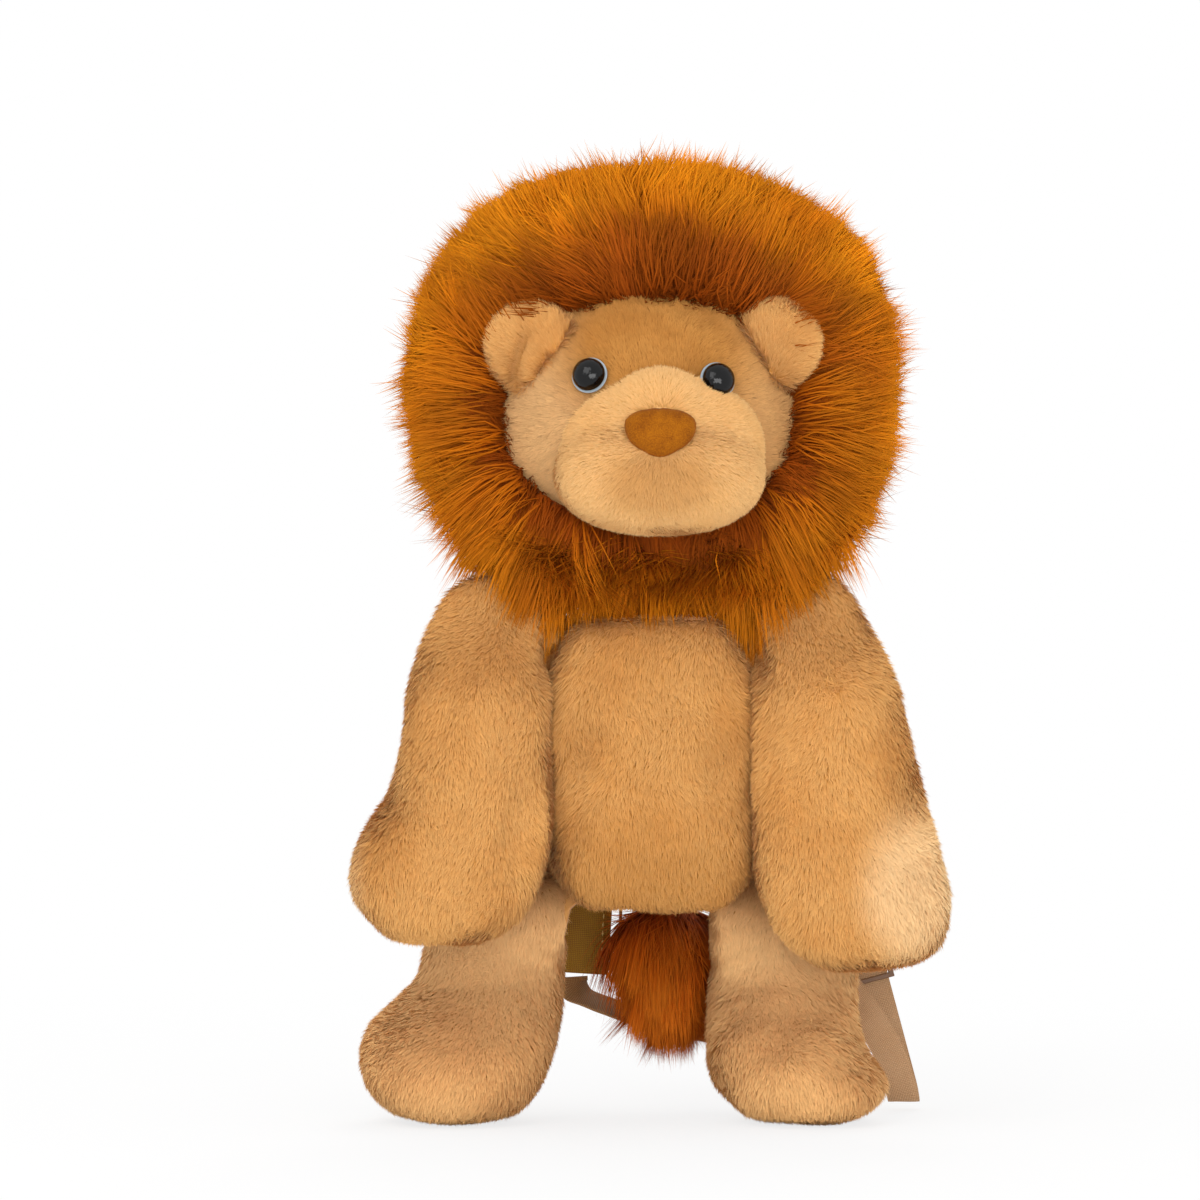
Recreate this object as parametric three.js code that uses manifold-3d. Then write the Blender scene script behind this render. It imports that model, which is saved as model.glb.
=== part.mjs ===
// A plush lion backpack: a soft bag body with a stuffed head, a long-pile mane, hanging limbs,
// a tufted tail, a zipped back, padded shoulder straps and a hanging loop behind the neck.
// Millimetres, +Z up, and the lion faces -Y. Left and right are those of a person facing it.
// The group is placed with its origin at the inside top of the hanging loop.
import * as THREE from 'three';
import { mergeVertices } from 'three/addons/utils/BufferGeometryUtils.js';
import Module from 'manifold-3d';

const wasm = await Module();
wasm.setup();

// Gaps between pieces
const seamGap = 0.3; // pieces that are sewn or set together
const swingGap = 0.5; // a limb beside the belly that it swings past
const runningGap = 0.4; // zip slider, pull and strap adjusters
const socketGap = 0.8; // head round the neck ball
const hipGap = 0.5; // bag round the hips

// Bag body
const legLength = 96; // sole to hip line
const bellyAboveHip = 1; // lowest point of the belly above the hip line
const bagHeight = 143;
const bellyHalfWidth = 45.5;
const bellyDepth = 64;
const bellyFront = -52;
const bellySquareness = 4;
const backHalfWidth = 62; // the bag widens behind the arms
const backHeight = 132;
const backDepth = 62;
const backFront = -11;
const backFace = 47; // flat face that lies against the wearer
const bagWall = 6; // plush, wadding and stitching
const panelSeam = 40; // seam of the back panel
const liningCloth = 1;
const liningMargin = 2; // the lining's mouth beyond the zip tape

// Hips and legs
const hipRadius = 22; // round top of the thigh
const hipY = 18;
const hipSpread = 28; // inner side of the hip hollow from the middle
const hipOut = 34; // middle of the hip outside that
const soleCut = 0.5; // the sole is flattened this deep

// Neck, head and mane
const neckRadius = 24;
const neckRise = 10; // neck ball's centre above the bag
const headRise = 86; // head's centre above the bag
const headSize = new THREE.Vector3(131, 110, 110);
const headShift = new THREE.Vector2(-1.5, -12);
const headSquareness = 2.3;
const maneSize = new THREE.Vector3(222, 92, 196);
const maneRise = 18; // mane's centre above the head's
const maneShift = new THREE.Vector2(0.5, 2.5);
const maneSquareness = 2.4;

// Face
const muzzleSize = new THREE.Vector3(96, 72, 56);
const muzzleSink = 9; // middle of the muzzle behind the head's front
const muzzleDrop = 27; // middle of the muzzle below the head's centre
const bridgeSize = new THREE.Vector3(48, 50, 48);
const bridgeSink = 6;
const bridgeDrop = 2;
const faceShift = 4.5; // the face looks a little to the viewer's right
const noseWidth = 33;
const noseHeight = 21;
const noseThickness = 8;
const noseBevel = 2.6;
const noseSink = 2.5; // back of the nose behind the bridge's surface
const noseDrop = 5; // middle of the nose below the bridge's
const noseLean = 12.6; // degrees
const eyeRadius = 7.5;
const eyeBulge = 6;
const eyeSpacing = 58;
const eyeRise = 16.5; // eye's centre above the head's
const eyeRingRadius = 8.9;
const eyeRingThickness = 0.9;
const eyeSeat = 1.1; // flat seat below the head's surface
const shankRadius = 1.5;
const shankLength = 9;
const washerRadius = 7.5;
const washerThickness = 1.6;
const washerDepth = 5; // top of the washer below the seat
const earSize = new THREE.Vector3(39, 18, 41);
const earPlace = new THREE.Vector3(0.87, -0.455, 0.573); // in half head sizes, mirrored for the left
const earTilt = 40; // degrees, outwards
const earTurn = 14; // degrees, cupped forwards

// Arms
const shoulderY = -40;
const shoulderDrop = 2; // shoulder hinge below the bag's top
const shoulderOut = 26.5; // middle of the shoulder outside the belly
const shoulderRadius = 15; // round root of the arm, sewn to the belly
const shoulderReach = 5.6; // its end inside the belly's widest part

// Tail
const tailX = 6;
const tailRadius = 6;
const tailRoot = 6; // root above the lower end of the bag's back half
const tailLength = 21;
const tuftLength = 48;
const tuftRadius = 17;
const tailOut = 2.9; // middle of the tail behind the bag's back face

// Zip down the middle of the back
const zipBelowYoke = 2.4;
const pullAboveTail = 0.8; // with the zip fully open
const zipTapeWidth = 14.7;
const zipTapeThickness = 1;
const zipTapeDepth = 3; // middle of the tape behind the bag's back face
const coilWidth = 2.8;
const coilThickness = 2.4;
const coilPitch = 4;
const toothShare = 0.6; // tooth's share of the pitch
const coilGap = 1.8; // the slider's post runs in it
const sliderHeight = 9;
const sliderWidth = 9.6;
const sliderPlate = 1.2;
const postWidth = 1;
const bridgeHeight = 4; // pull bridge over the slider's outer plate
const bridgeWidth = 2.4;
const bridgeWall = 1.1;
const pullLength = 18;
const pullWidth = 9;
const pullBar = 1.8;

// Straps
const yokeWidth = 92;
const yokeHeight = 14;
const yokeThickness = 2;
const yokeBelowTop = 13; // upper edge of the yoke below the bag's top
const loopWidth = 20;
const loopCloth = 2;
const loopRise = 48; // top of the hanging loop above the yoke
const loopDepth = 15;
const padWidth = 34;
const padThickness = 6;
const webbingWidth = 15;
const webbingThickness = 1.6;
const passSpacing = 5; // between the two passes of the left webbing
const adjusterLength = 12;
const adjusterRim = 2.4;
const adjusterBar = 1.4;
const tabThickness = 3;

// Levels and places that follow from the sizes
const hipZ = legLength;
const bagBottom = hipZ + bellyAboveHip;
const bagTop = bagBottom + bagHeight;
const neckZ = bagTop + neckRise;
const headCentre = new THREE.Vector3(headShift.x, headShift.y, bagTop + headRise);
const maneCentre = new THREE.Vector3(maneShift.x, maneShift.y, headCentre.z + maneRise);
const headFront = headCentre.y - headSize.y / 2;
const muzzleCentre = new THREE.Vector3(
  headCentre.x + faceShift, headFront + muzzleSink, headCentre.z - muzzleDrop,
);
const bridgeCentre = new THREE.Vector3(
  headCentre.x + faceShift, headFront + bridgeSink, headCentre.z - bridgeDrop,
);
const shoulderZ = bagTop - shoulderDrop;
const shoulderX = bellyHalfWidth + shoulderOut;
const armInside = bellyHalfWidth + swingGap;
const hipX = hipSpread + hipOut;
const backBottom = bagTop - backHeight;
const tailZ = backBottom + tailRoot;
const zipTapeY = backFace - zipTapeDepth;
const zipHalf = coilGap / 2 + zipTapeWidth;
const sliderParking = sliderHeight + 2 * runningGap;
const zipEnd = sliderParking + 2 * runningGap; // length of the tape beyond the leaves
const yokeTop = bagTop - yokeBelowTop;
const yokeLow = yokeTop - yokeHeight;
const zipHigh = yokeLow - zipBelowYoke - zipEnd;
const openSliderMiddle = tailZ + tailRadius + pullAboveTail + pullLength;
const zipLow = openSliderMiddle + sliderHeight / 2 + runningGap + seamGap;
const zipLeafLength = zipHigh - zipLow; // stretch of the zip that opens
const yokeBack = backFace + seamGap + yokeThickness;
const loopInner = yokeBack + seamGap;

const far = 1000;
const alongX = new THREE.Vector3(1, 0, 0);
const alongY = new THREE.Vector3(0, 1, 0);

// Cloth and plastic finishes
function finish(color, roughness, metalness = 0) {
  return new THREE.MeshStandardMaterial({ color, roughness, metalness });
}
const plush = finish(0xd6a467, 0.95);
const palePlush = finish(0xe8c48c, 0.95);
const longPile = finish(0xb8650f, 0.9);
const darkPile = finish(0x7a3206, 0.9);
const suede = finish(0xb9792f, 0.9);
const blackGloss = finish(0x0c0b0e, 0.08);
const paleRim = finish(0xd9dee0, 0.5);
const whitePlastic = finish(0xe9e6df, 0.45);
const webbingCloth = finish(0xa98256, 0.85);
const khakiCloth = finish(0x8a6a1c, 0.9);
const liningFabric = finish(0x9a7440, 0.8);
const tapeCloth = finish(0x8f6a3a, 0.85);
const nylon = finish(0x7a5528, 0.4);
const zincAlloy = finish(0xb9924e, 0.3, 1);
const brownPlastic = finish(0x6b4520, 0.4);

const lion = new THREE.Group();

// Solids for joining and cutting
function solidOf(geometry) {
  const bare = geometry.clone();
  bare.deleteAttribute('normal');
  bare.deleteAttribute('uv');
  const merged = mergeVertices(bare, 1e-4);
  return new wasm.Manifold(
    new wasm.Mesh({
      numProp: 3,
      vertProperties: new Float32Array(merged.attributes.position.array),
      triVerts: new Uint32Array(merged.index.array),
    }),
  );
}

function geometryOf(solid) {
  const mesh = solid.getMesh();
  const geometry = new THREE.BufferGeometry();
  geometry.setAttribute('position', new THREE.BufferAttribute(mesh.vertProperties, 3));
  geometry.setIndex(new THREE.BufferAttribute(mesh.triVerts, 1));
  return geometry;
}

function addPiece(name, shape, material) {
  const geometry = shape.isBufferGeometry ? shape : geometryOf(shape);
  const mesh = new THREE.Mesh(geometry, material);
  mesh.name = name;
  lion.add(mesh);
  return mesh;
}

function boxBetween(low, high) {
  const size = new THREE.Vector3().subVectors(high, low);
  const middle = new THREE.Vector3().addVectors(low, high).multiplyScalar(0.5);
  return solidOf(new THREE.BoxGeometry(size.x, size.y, size.z).translate(...middle));
}

function box(x0, x1, y0, y1, z0, z1) {
  return boxBetween(new THREE.Vector3(x0, y0, z0), new THREE.Vector3(x1, y1, z1));
}

// A pillow shape: a sphere that is squarer the higher its power, stretched to a size
function pillow(size, centre, power, grow = 0, around = 28, along = 18) {
  const geometry = new THREE.SphereGeometry(1, around, along).rotateX(Math.PI / 2);
  const places = geometry.attributes.position;
  const at = new THREE.Vector3();
  for (let i = 0; i < places.count; i++) {
    at.fromBufferAttribute(places, i);
    const sum = Math.abs(at.x) ** power + Math.abs(at.y) ** power + Math.abs(at.z) ** power;
    at.multiplyScalar(sum ** (-1 / power));
    at.multiply(new THREE.Vector3(size.x / 2 + grow, size.y / 2 + grow, size.z / 2 + grow));
    at.add(centre);
    places.setXYZ(i, at.x, at.y, at.z);
  }
  return solidOf(geometry);
}

// A stuffed limb along Z: stations are [z, lowest x, highest x, middle y, half depth], from top to toe.
// A smooth curve runs through the stations, and each ring of a sphere takes one section of it.
function stuffedLimb(stations, around = 20, along = 16) {
  const middles = stations.map(([z, low, high, y]) => new THREE.Vector3((low + high) / 2, y, z));
  const widths = stations.map(([, low, high, , depth]) => new THREE.Vector3((high - low) / 2, depth, 0));
  const path = new THREE.CatmullRomCurve3(middles, false, 'catmullrom', 0.5);
  const girth = new THREE.CatmullRomCurve3(widths, false, 'catmullrom', 0.5);
  const geometry = new THREE.SphereGeometry(1, around, along).rotateX(Math.PI / 2);
  const places = geometry.attributes.position;
  const at = new THREE.Vector3();
  for (let i = 0; i < places.count; i++) {
    at.fromBufferAttribute(places, i);
    const down = Math.acos(THREE.MathUtils.clamp(at.z, -1, 1)) / Math.PI;
    const reach = Math.hypot(at.x, at.y);
    const middle = path.getPoint(down);
    const half = girth.getPoint(down);
    const pole = reach < 1e-6;
    const x = pole ? 0 : (at.x / reach) * Math.max(half.x, 0.2);
    const y = pole ? 0 : (at.y / reach) * Math.max(half.y, 0.2);
    places.setXYZ(i, middle.x + x, middle.y + y, middle.z);
  }
  return solidOf(geometry);
}

// A flat strip that follows a curve. Its width points along X, or as sideAt says for a place on the
// way from 0 to 1, and its edges are as thin as edgeShare of its middle.
function strip(points, width, thickness, steps, { edgeShare = 1, sideAt = () => alongX } = {}) {
  const curve = new THREE.CatmullRomCurve3(points, false, 'centripetal');
  const across = edgeShare < 1 ? 6 : 1;
  const geometry = new THREE.BoxGeometry(width, thickness, 1, across, 1, steps);
  const places = geometry.attributes.position;
  for (let i = 0; i < places.count; i++) {
    const along = places.getZ(i) + 0.5;
    const centre = curve.getPointAt(along);
    const ahead = curve.getTangentAt(along);
    const side = sideAt(along).clone();
    side.addScaledVector(ahead, -side.dot(ahead)).normalize();
    const up = new THREE.Vector3().crossVectors(ahead, side);
    const outward = Math.abs((2 * places.getX(i)) / width);
    const crown = 1 - (1 - edgeShare) * outward ** 4;
    centre.addScaledVector(side, places.getX(i));
    centre.addScaledVector(up, places.getY(i) * crown);
    places.setXYZ(i, centre.x, centre.y, centre.z);
  }
  return solidOf(geometry);
}

// A flat piece from an outline, drawn in X and Z, with its thickness along Y from y0 to y1
function plate(shape, y0, y1, curveSegments = 12) {
  const flat = new THREE.ExtrudeGeometry(shape, { depth: y1 - y0, bevelEnabled: false, curveSegments });
  return solidOf(flat.rotateX(Math.PI / 2).translate(0, y1, 0));
}

// The bag: a rounded belly in front and a wider, squarer half behind the arms
function bagBody(inset, around, along) {
  const bellyCentre = new THREE.Vector3(0, bellyFront + bellyDepth / 2, (bagBottom + bagTop) / 2);
  const bellySize = new THREE.Vector3(2 * bellyHalfWidth, bellyDepth, bagHeight);
  const belly = pillow(bellySize, bellyCentre, bellySquareness, -inset, around, along);
  const backCentre = new THREE.Vector3(0, backFront + backDepth / 2, bagTop - backHeight / 2);
  const backSize = new THREE.Vector3(2 * backHalfWidth, backDepth, backHeight);
  const back = pillow(backSize, backCentre, 4, -inset, around, along);
  const beyondFace = box(-far, far, backFace - inset, far, -far, far);
  let body = belly.add(back).subtract(beyondFace);
  for (const side of [-1, 1]) {
    const hollow = new THREE.CylinderGeometry(1, 1, far, 24).scale(hipRadius, 1, hipRadius);
    const radius = (hipRadius + hipGap + inset) / hipRadius;
    hollow.scale(radius, 1, radius).rotateZ(Math.PI / 2);
    hollow.translate(side * (hipSpread - inset + far / 2), hipY, hipZ);
    body = body.subtract(solidOf(hollow));
  }
  return body;
}

const outsideFacets = [20, 14];
const insideFacets = [16, 10];
const bagOutside = bagBody(0, ...outsideFacets);
const bagInside = bagBody(bagWall, ...insideFacets);
const bagShell = bagOutside.subtract(bagInside);

function makeBag() {
  const front = bagShell.subtract(box(-far, far, panelSeam - seamGap / 2, far, -far, far));
  addPiece('torso_front', front, plush);
  const slot = box(
    -zipHalf - runningGap, zipHalf + runningGap,
    panelSeam - far, far,
    zipLow - zipEnd - runningGap, zipHigh + zipEnd + runningGap,
  );
  const back = bagShell.subtract(box(-far, far, -far, panelSeam + seamGap / 2, -far, far));
  addPiece('torso_back', back.subtract(slot), plush);
  const outer = bagBody(bagWall + seamGap, ...insideFacets);
  const inner = bagBody(bagWall + seamGap + liningCloth, ...insideFacets);
  const mouth = box(
    -zipHalf - liningMargin, zipHalf + liningMargin,
    0, far,
    zipLow - zipEnd - liningMargin, zipHigh + zipEnd + liningMargin,
  );
  addPiece('lining', outer.subtract(inner).subtract(mouth), liningFabric);
}

// Zip: two leaves that open inwards, each a tape with a nylon coil, and closed ends beyond them
function makeZip() {
  const half = zipTapeThickness / 2;
  for (const [name, side] of [['left', -1], ['right', 1]]) {
    const edges = [side * (coilGap / 2 + coilWidth + runningGap / 2), side * zipHalf];
    const [low, high] = edges.sort((a, b) => a - b);
    const tape = box(low, high, zipTapeY - half, zipTapeY + half, zipLow, zipHigh);
    addPiece(`zip_tape_${name}`, tape, tapeCloth);

    const comb = new THREE.Shape();
    const root = side * (coilGap / 2 + coilWidth);
    const tip = side * (coilGap / 2);
    const notch = side * (coilGap / 2 + coilWidth / 2);
    comb.moveTo(root, zipLow);
    comb.lineTo(root, zipHigh);
    const teeth = Math.round(zipLeafLength / coilPitch);
    const pitch = zipLeafLength / teeth;
    for (let i = teeth - 1; i >= 0; i--) {
      const start = zipLow + i * pitch;
      comb.lineTo(notch, start + pitch);
      comb.lineTo(notch, start + toothShare * pitch);
      comb.lineTo(tip, start + toothShare * pitch);
      comb.lineTo(tip, start);
    }
    const coil = plate(comb, zipTapeY - coilThickness / 2, zipTapeY + coilThickness / 2);
    addPiece(`zip_coil_${name}`, coil, nylon);
  }
  const ends = [
    ['top', zipHigh + seamGap, zipHigh + zipEnd, 1],
    ['bottom', zipLow - zipEnd, zipLow - seamGap, -1],
  ];
  for (const [name, low, high, side] of ends) {
    const tape = box(-zipHalf, zipHalf, zipTapeY - half, zipTapeY + half, low, high);
    const open = side > 0 ? [low - 1, high - runningGap] : [low + runningGap, high + 1];
    const way = box(-coilGap / 2, coilGap / 2, 0, far, ...open);
    addPiece(`zip_end_${name}`, tape.subtract(way), tapeCloth);
  }
}

function makeSlider() {
  const low = zipHigh + seamGap + runningGap;
  const high = low + sliderHeight;
  const middle = (low + high) / 2;
  const coilHalf = coilThickness / 2 + runningGap;
  const outer = zipTapeY + coilHalf + sliderPlate;
  const width = sliderWidth / 2;
  const front = box(-width, width, outer - sliderPlate, outer, low, high);
  const inside = zipTapeY - coilHalf - sliderPlate;
  const back = box(-width, width, inside, inside + sliderPlate, low, high);
  const post = box(-postWidth / 2, postWidth / 2, inside, outer, low + 1, high - 1);
  const bridge = box(-bridgeWidth / 2, bridgeWidth / 2, outer - 0.1, outer + bridgeHeight, low, high);
  const window = box(
    -far, far,
    outer, outer + bridgeHeight - bridgeWall,
    low + bridgeWall, high - bridgeWall,
  );
  const slider = front.add(back).add(post).add(bridge.subtract(window));
  addPiece('zip_slider', slider, zincAlloy);

  const barY = outer + (bridgeHeight - bridgeWall) / 2;
  const hole = bridgeWidth / 2 + runningGap;
  const outline = new THREE.Shape();
  const reach = pullWidth / 2;
  outline.moveTo(-reach, middle + pullBar / 2);
  outline.lineTo(-reach, middle - pullLength + reach);
  outline.absarc(0, middle - pullLength + reach, reach, Math.PI, 2 * Math.PI, false);
  outline.lineTo(reach, middle + pullBar / 2);
  outline.closePath();
  const eye = new THREE.Path();
  const eyeEnd = middle - sliderHeight;
  eye.moveTo(-hole, middle - pullBar / 2);
  eye.lineTo(hole, middle - pullBar / 2);
  eye.lineTo(hole, eyeEnd);
  eye.lineTo(-hole, eyeEnd);
  eye.closePath();
  outline.holes.push(eye);
  addPiece('zip_pull', plate(outline, barY - pullBar / 2, barY + pullBar / 2), zincAlloy);
}

// Neck ball on the bag, and the head that turns round it
const neckCentre = new THREE.Vector3(0, 0, neckZ);

function neckBall(radius) {
  return solidOf(new THREE.SphereGeometry(radius, 16, 10).translate(...neckCentre));
}

function headForm(grow, around = 24, along = 14) {
  return pillow(headSize, headCentre, headSquareness, grow, around, along);
}

// Front surface of the head at x and z, both from its centre, with its outward direction
function headSurface(x, z) {
  const half = headSize.clone().multiplyScalar(0.5);
  const power = headSquareness;
  const left = 1 - Math.abs(x / half.x) ** power - Math.abs(z / half.z) ** power;
  const y = -half.y * left ** (1 / power);
  const slope = (value, reach) => (Math.sign(value) * Math.abs(value) ** (power - 1)) / reach ** power;
  const outward = new THREE.Vector3(slope(x, half.x), slope(y, half.y), slope(z, half.z)).normalize();
  return { place: new THREE.Vector3(x, y, z).add(headCentre), outward };
}

function muzzleForm(grow) {
  const low = pillow(muzzleSize, muzzleCentre, 2.2, grow, 22, 12);
  const high = pillow(bridgeSize, bridgeCentre, 2, grow, 16, 10);
  return low.add(high);
}

function earForm(side, grow) {
  const ear = pillow(earSize, new THREE.Vector3(), 2.2, grow, 16, 10);
  const turned = ear.rotate([0, side * earTilt, 0]).rotate([0, 0, side * -earTurn]);
  const place = earPlace.clone().multiply(headSize).multiplyScalar(0.5);
  place.x *= side;
  place.add(headCentre);
  return turned.translate([place.x, place.y, place.z]);
}

// A round piece turned about its own axis, which points out of the face at an eye
function turnedAt(profile, eye, segments = 24) {
  const lathe = new THREE.LatheGeometry(profile.map(([r, h]) => new THREE.Vector2(r, h)), segments);
  const out = new THREE.Quaternion().setFromUnitVectors(alongY, eye.outward);
  const seat = eye.place.clone().addScaledVector(eye.outward, -eyeSeat);
  return solidOf(lathe.applyQuaternion(out).translate(...seat));
}

const eyes = [['left', -1], ['right', 1]].map(([name, side]) => ({
  name,
  ...headSurface((side * eyeSpacing) / 2 + 1.8, eyeRise + side * -1.1),
}));

function makeHead() {
  addPiece('neck', neckBall(neckRadius).subtract(box(-far, far, -far, far, -far, bagTop + seamGap)), plush);

  let head = headForm(0).subtract(neckBall(neckRadius + socketGap));
  for (const eye of eyes) {
    const space = runningGap;
    const seat = [[0, 0], [eyeRingRadius + 0.5, 0], [eyeRingRadius + 0.5, 20], [0, 20]];
    const bore = shankRadius + space;
    const hole = [[0, -shankLength - 2], [bore, -shankLength - 2], [bore, 1], [0, 1]];
    const low = -washerDepth - washerThickness - space;
    const hollow = [[0, low], [washerRadius + space, low], [washerRadius + space, -washerDepth + space]];
    hollow.push([0, -washerDepth + space]);
    for (const cut of [seat, hole, hollow]) head = head.subtract(turnedAt(cut, eye));
    addPiece(`eye_${eye.name}`, turnedAt(eyeProfile(), eye), blackGloss);
    const ringLow = seamGap;
    const ringHigh = seamGap + eyeRingThickness;
    const ring = [[bore, ringLow], [eyeRingRadius, ringLow], [eyeRingRadius, ringHigh * 0.7]];
    ring.push([eyeRingRadius - 0.4, ringHigh], [bore, ringHigh], [bore, ringLow]);
    addPiece(`eye_ring_${eye.name}`, turnedAt(ring, eye), paleRim);
    const washerHigh = -washerDepth;
    const washerLow = washerHigh - washerThickness;
    const washer = [[bore, washerLow], [washerRadius, washerLow], [washerRadius, washerHigh]];
    washer.push([bore, washerHigh], [bore, washerLow]);
    addPiece(`eye_washer_${eye.name}`, turnedAt(washer, eye, 16), whitePlastic);
  }
  addPiece('head', head, plush);
  return head;
}

function eyeProfile() {
  const base = 2 * seamGap + eyeRingThickness;
  const profile = [[0, -shankLength], [shankRadius, -shankLength]];
  profile.push([shankRadius, base], [eyeRadius - 0.5, base]);
  const steps = 6;
  for (let i = 0; i <= steps; i++) {
    const angle = (i / steps) * (Math.PI / 2);
    profile.push([eyeRadius * Math.cos(angle), base + 0.6 + eyeBulge * Math.sin(angle)]);
  }
  profile[profile.length - 1][0] = 0;
  return profile;
}

function makeFace() {
  let muzzle = muzzleForm(0).subtract(headForm(seamGap));
  for (const eye of eyes) {
    const room = eyeRingRadius + 0.7;
    muzzle = muzzle.subtract(turnedAt([[0, -1], [room, -1], [room, 20], [0, 20]], eye));
  }
  addPiece('muzzle', muzzle, palePlush);

  const outline = new THREE.Shape();
  const half = noseWidth / 2;
  const top = noseHeight * 0.52;
  const bottom = -noseHeight * 0.48;
  outline.moveTo(0, bottom);
  outline.bezierCurveTo(-half * 0.55, bottom, -half, top * 0.1, -half, top * 0.35);
  outline.bezierCurveTo(-half, top * 0.9, -half * 0.5, top, 0, top);
  outline.bezierCurveTo(half * 0.5, top, half, top * 0.9, half, top * 0.35);
  outline.bezierCurveTo(half, top * 0.1, half * 0.55, bottom, 0, bottom);
  const nose = new THREE.ExtrudeGeometry(outline, {
    depth: noseThickness, curveSegments: 5,
    bevelThickness: noseBevel, bevelSize: noseBevel, bevelOffset: -noseBevel, bevelSegments: 3,
  });
  nose.rotateX(Math.PI / 2 - THREE.MathUtils.degToRad(noseLean));
  const front = bridgeCentre.y - bridgeSize.y / 2;
  nose.translate(bridgeCentre.x, front + noseSink, bridgeCentre.z - noseDrop);
  addPiece('nose', solidOf(nose).subtract(muzzleForm(seamGap)), suede);

  for (const [name, side] of [['left', -1], ['right', 1]]) {
    addPiece(`ear_${name}`, earForm(side, 0).subtract(headForm(seamGap)), plush);
  }
}

function makeMane() {
  let mane = pillow(maneSize, maneCentre, maneSquareness, 0, 30, 14);
  mane = mane.subtract(headForm(seamGap)).subtract(neckBall(neckRadius + socketGap));
  for (const side of [-1, 1]) mane = mane.subtract(earForm(side, 2 * seamGap));
  addPiece('mane', mane, longPile);
}

// Arms: each hangs beside the belly, thin at the shoulder and full at the paw.
// A station is [up, inner x, outer x, middle y, half depth], from the shoulder.
const armStations = {
  left: [
    [18, -2, 2, 0, 2], [12, -12, 18, 0, 13], [-6, -19, 29, -1, 18], [-33, -25, 39, -1, 22],
    [-65, -28, 44, -1, 24], [-87, -29, 50, -1, 25], [-103, -28, 62, -1, 26], [-122, -23, 66.5, -1, 26.5],
    [-140, -15, 61, -1, 24], [-150, 0, 45, -1, 15], [-153, 21, 25, -1, 2],
  ],
  right: [
    [18, 0, 4, 0, 2], [12, -14, 16, 0, 13], [-6, -22, 28, -1, 18], [-33, -27, 40, -1, 22],
    [-65, -29, 47, -1, 24], [-92, -29, 54, -1, 25], [-115, -27, 60, -1, 26], [-133, -22, 64.5, -1, 26.5],
    [-152, -13, 61, -1, 24], [-162, 2, 45, -1, 15], [-165, 22, 26, -1, 2],
  ],
};

// Legs: a round thigh in the hip hollow, and a foot that points forwards and out.
// A station is [up, inner x, outer x, middle y, half depth], from the hip.
const legStations = {
  left: [
    [21.5, 0, 4, 0, 2], [18, -14, 26, 0, 11], [4, -20.5, 40, 0, 21.5], [-12, -22, 44, 6, 23],
    [-32, -22, 48, 6, 25], [-50, -20, 68, -3, 33], [-66, -16, 74, -11, 40], [-82, -9, 69, -13, 40],
    [-93, 2, 56, -13, 32], [-97, 27, 31, -13, 2],
  ],
  right: [
    [21.5, -4, 0, 0, 2], [18, -20, 18, 0, 11], [4, -29, 31, 0, 21.5], [-12, -32, 36, 6, 23],
    [-32, -34, 35, 6, 25], [-50, -36.5, 34, -3, 33], [-66, -36, 41, -11, 40], [-82, -31, 48, -13, 40],
    [-93, -18, 36, -13, 32], [-97, 7, 11, -13, 2],
  ],
};

function limbOf(stations, side, root, stretch = 1) {
  return stuffedLimb(
    stations.map(([up, inner, outer, y, depth]) => [
      root.z + up * stretch,
      root.x + (side > 0 ? inner : -outer),
      root.x + (side > 0 ? outer : -inner),
      root.y + y,
      depth,
    ]),
  );
}

// The round root of a limb, from its sewn end to the middle of the limb
function limbRoot(root, radius, sewnX) {
  const length = Math.abs(root.x - sewnX);
  const round = new THREE.CylinderGeometry(radius, radius, length, 24).rotateZ(Math.PI / 2);
  return solidOf(round.translate((root.x + sewnX) / 2, root.y, root.z));
}

function makeArms() {
  for (const [name, side] of [['left', -1], ['right', 1]]) {
    const root = new THREE.Vector3(side * shoulderX, shoulderY, shoulderZ);
    const limb = limbOf(armStations[name], side, root);
    const inside = side > 0 ? [-far, armInside] : [-armInside, far];
    const beside = limb.subtract(box(...inside, -far, far, -far, far));
    const sewnX = side * (bellyHalfWidth - shoulderReach);
    addPiece(`arm_${name}`, beside.add(limbRoot(root, shoulderRadius, sewnX)), plush);
  }
}

function makeLegs() {
  const drawnLength = 96;
  const stretch = (legLength - soleCut) / drawnLength;
  for (const [name, side] of [['left', -1], ['right', 1]]) {
    const root = new THREE.Vector3(side * hipX, hipY, hipZ);
    const limb = limbOf(legStations[name], side, root, stretch);
    const belowSole = box(-far, far, -far, far, -far, 0);
    const lower = limb.subtract(belowSole).subtract(bagOutside);
    addPiece(`leg_${name}`, lower.add(limbRoot(root, hipRadius, side * (hipSpread + seamGap))), plush);
  }
}

function makeTail() {
  const y = backFace + tailOut;
  const straight = tailLength - tailRadius;
  const tail = new THREE.CapsuleGeometry(tailRadius, straight, 5, 14).rotateX(Math.PI / 2);
  addPiece('tail', solidOf(tail.translate(tailX, y, tailZ - straight / 2)), plush);
  const top = tailZ - straight - tailRadius - seamGap;
  const shape = [[0, 0.1], [0.14, 0.62], [0.38, 0.95], [0.66, 1], [0.88, 0.66], [1, 0.1]];
  const stations = shape.map(([down, wide]) => [
    top - down * tuftLength, tailX - wide * tuftRadius, tailX + wide * tuftRadius, y, wide * tuftRadius,
  ]);
  addPiece('tail_tuft', stuffedLimb(stations, 16, 12), darkPile);
}

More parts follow.
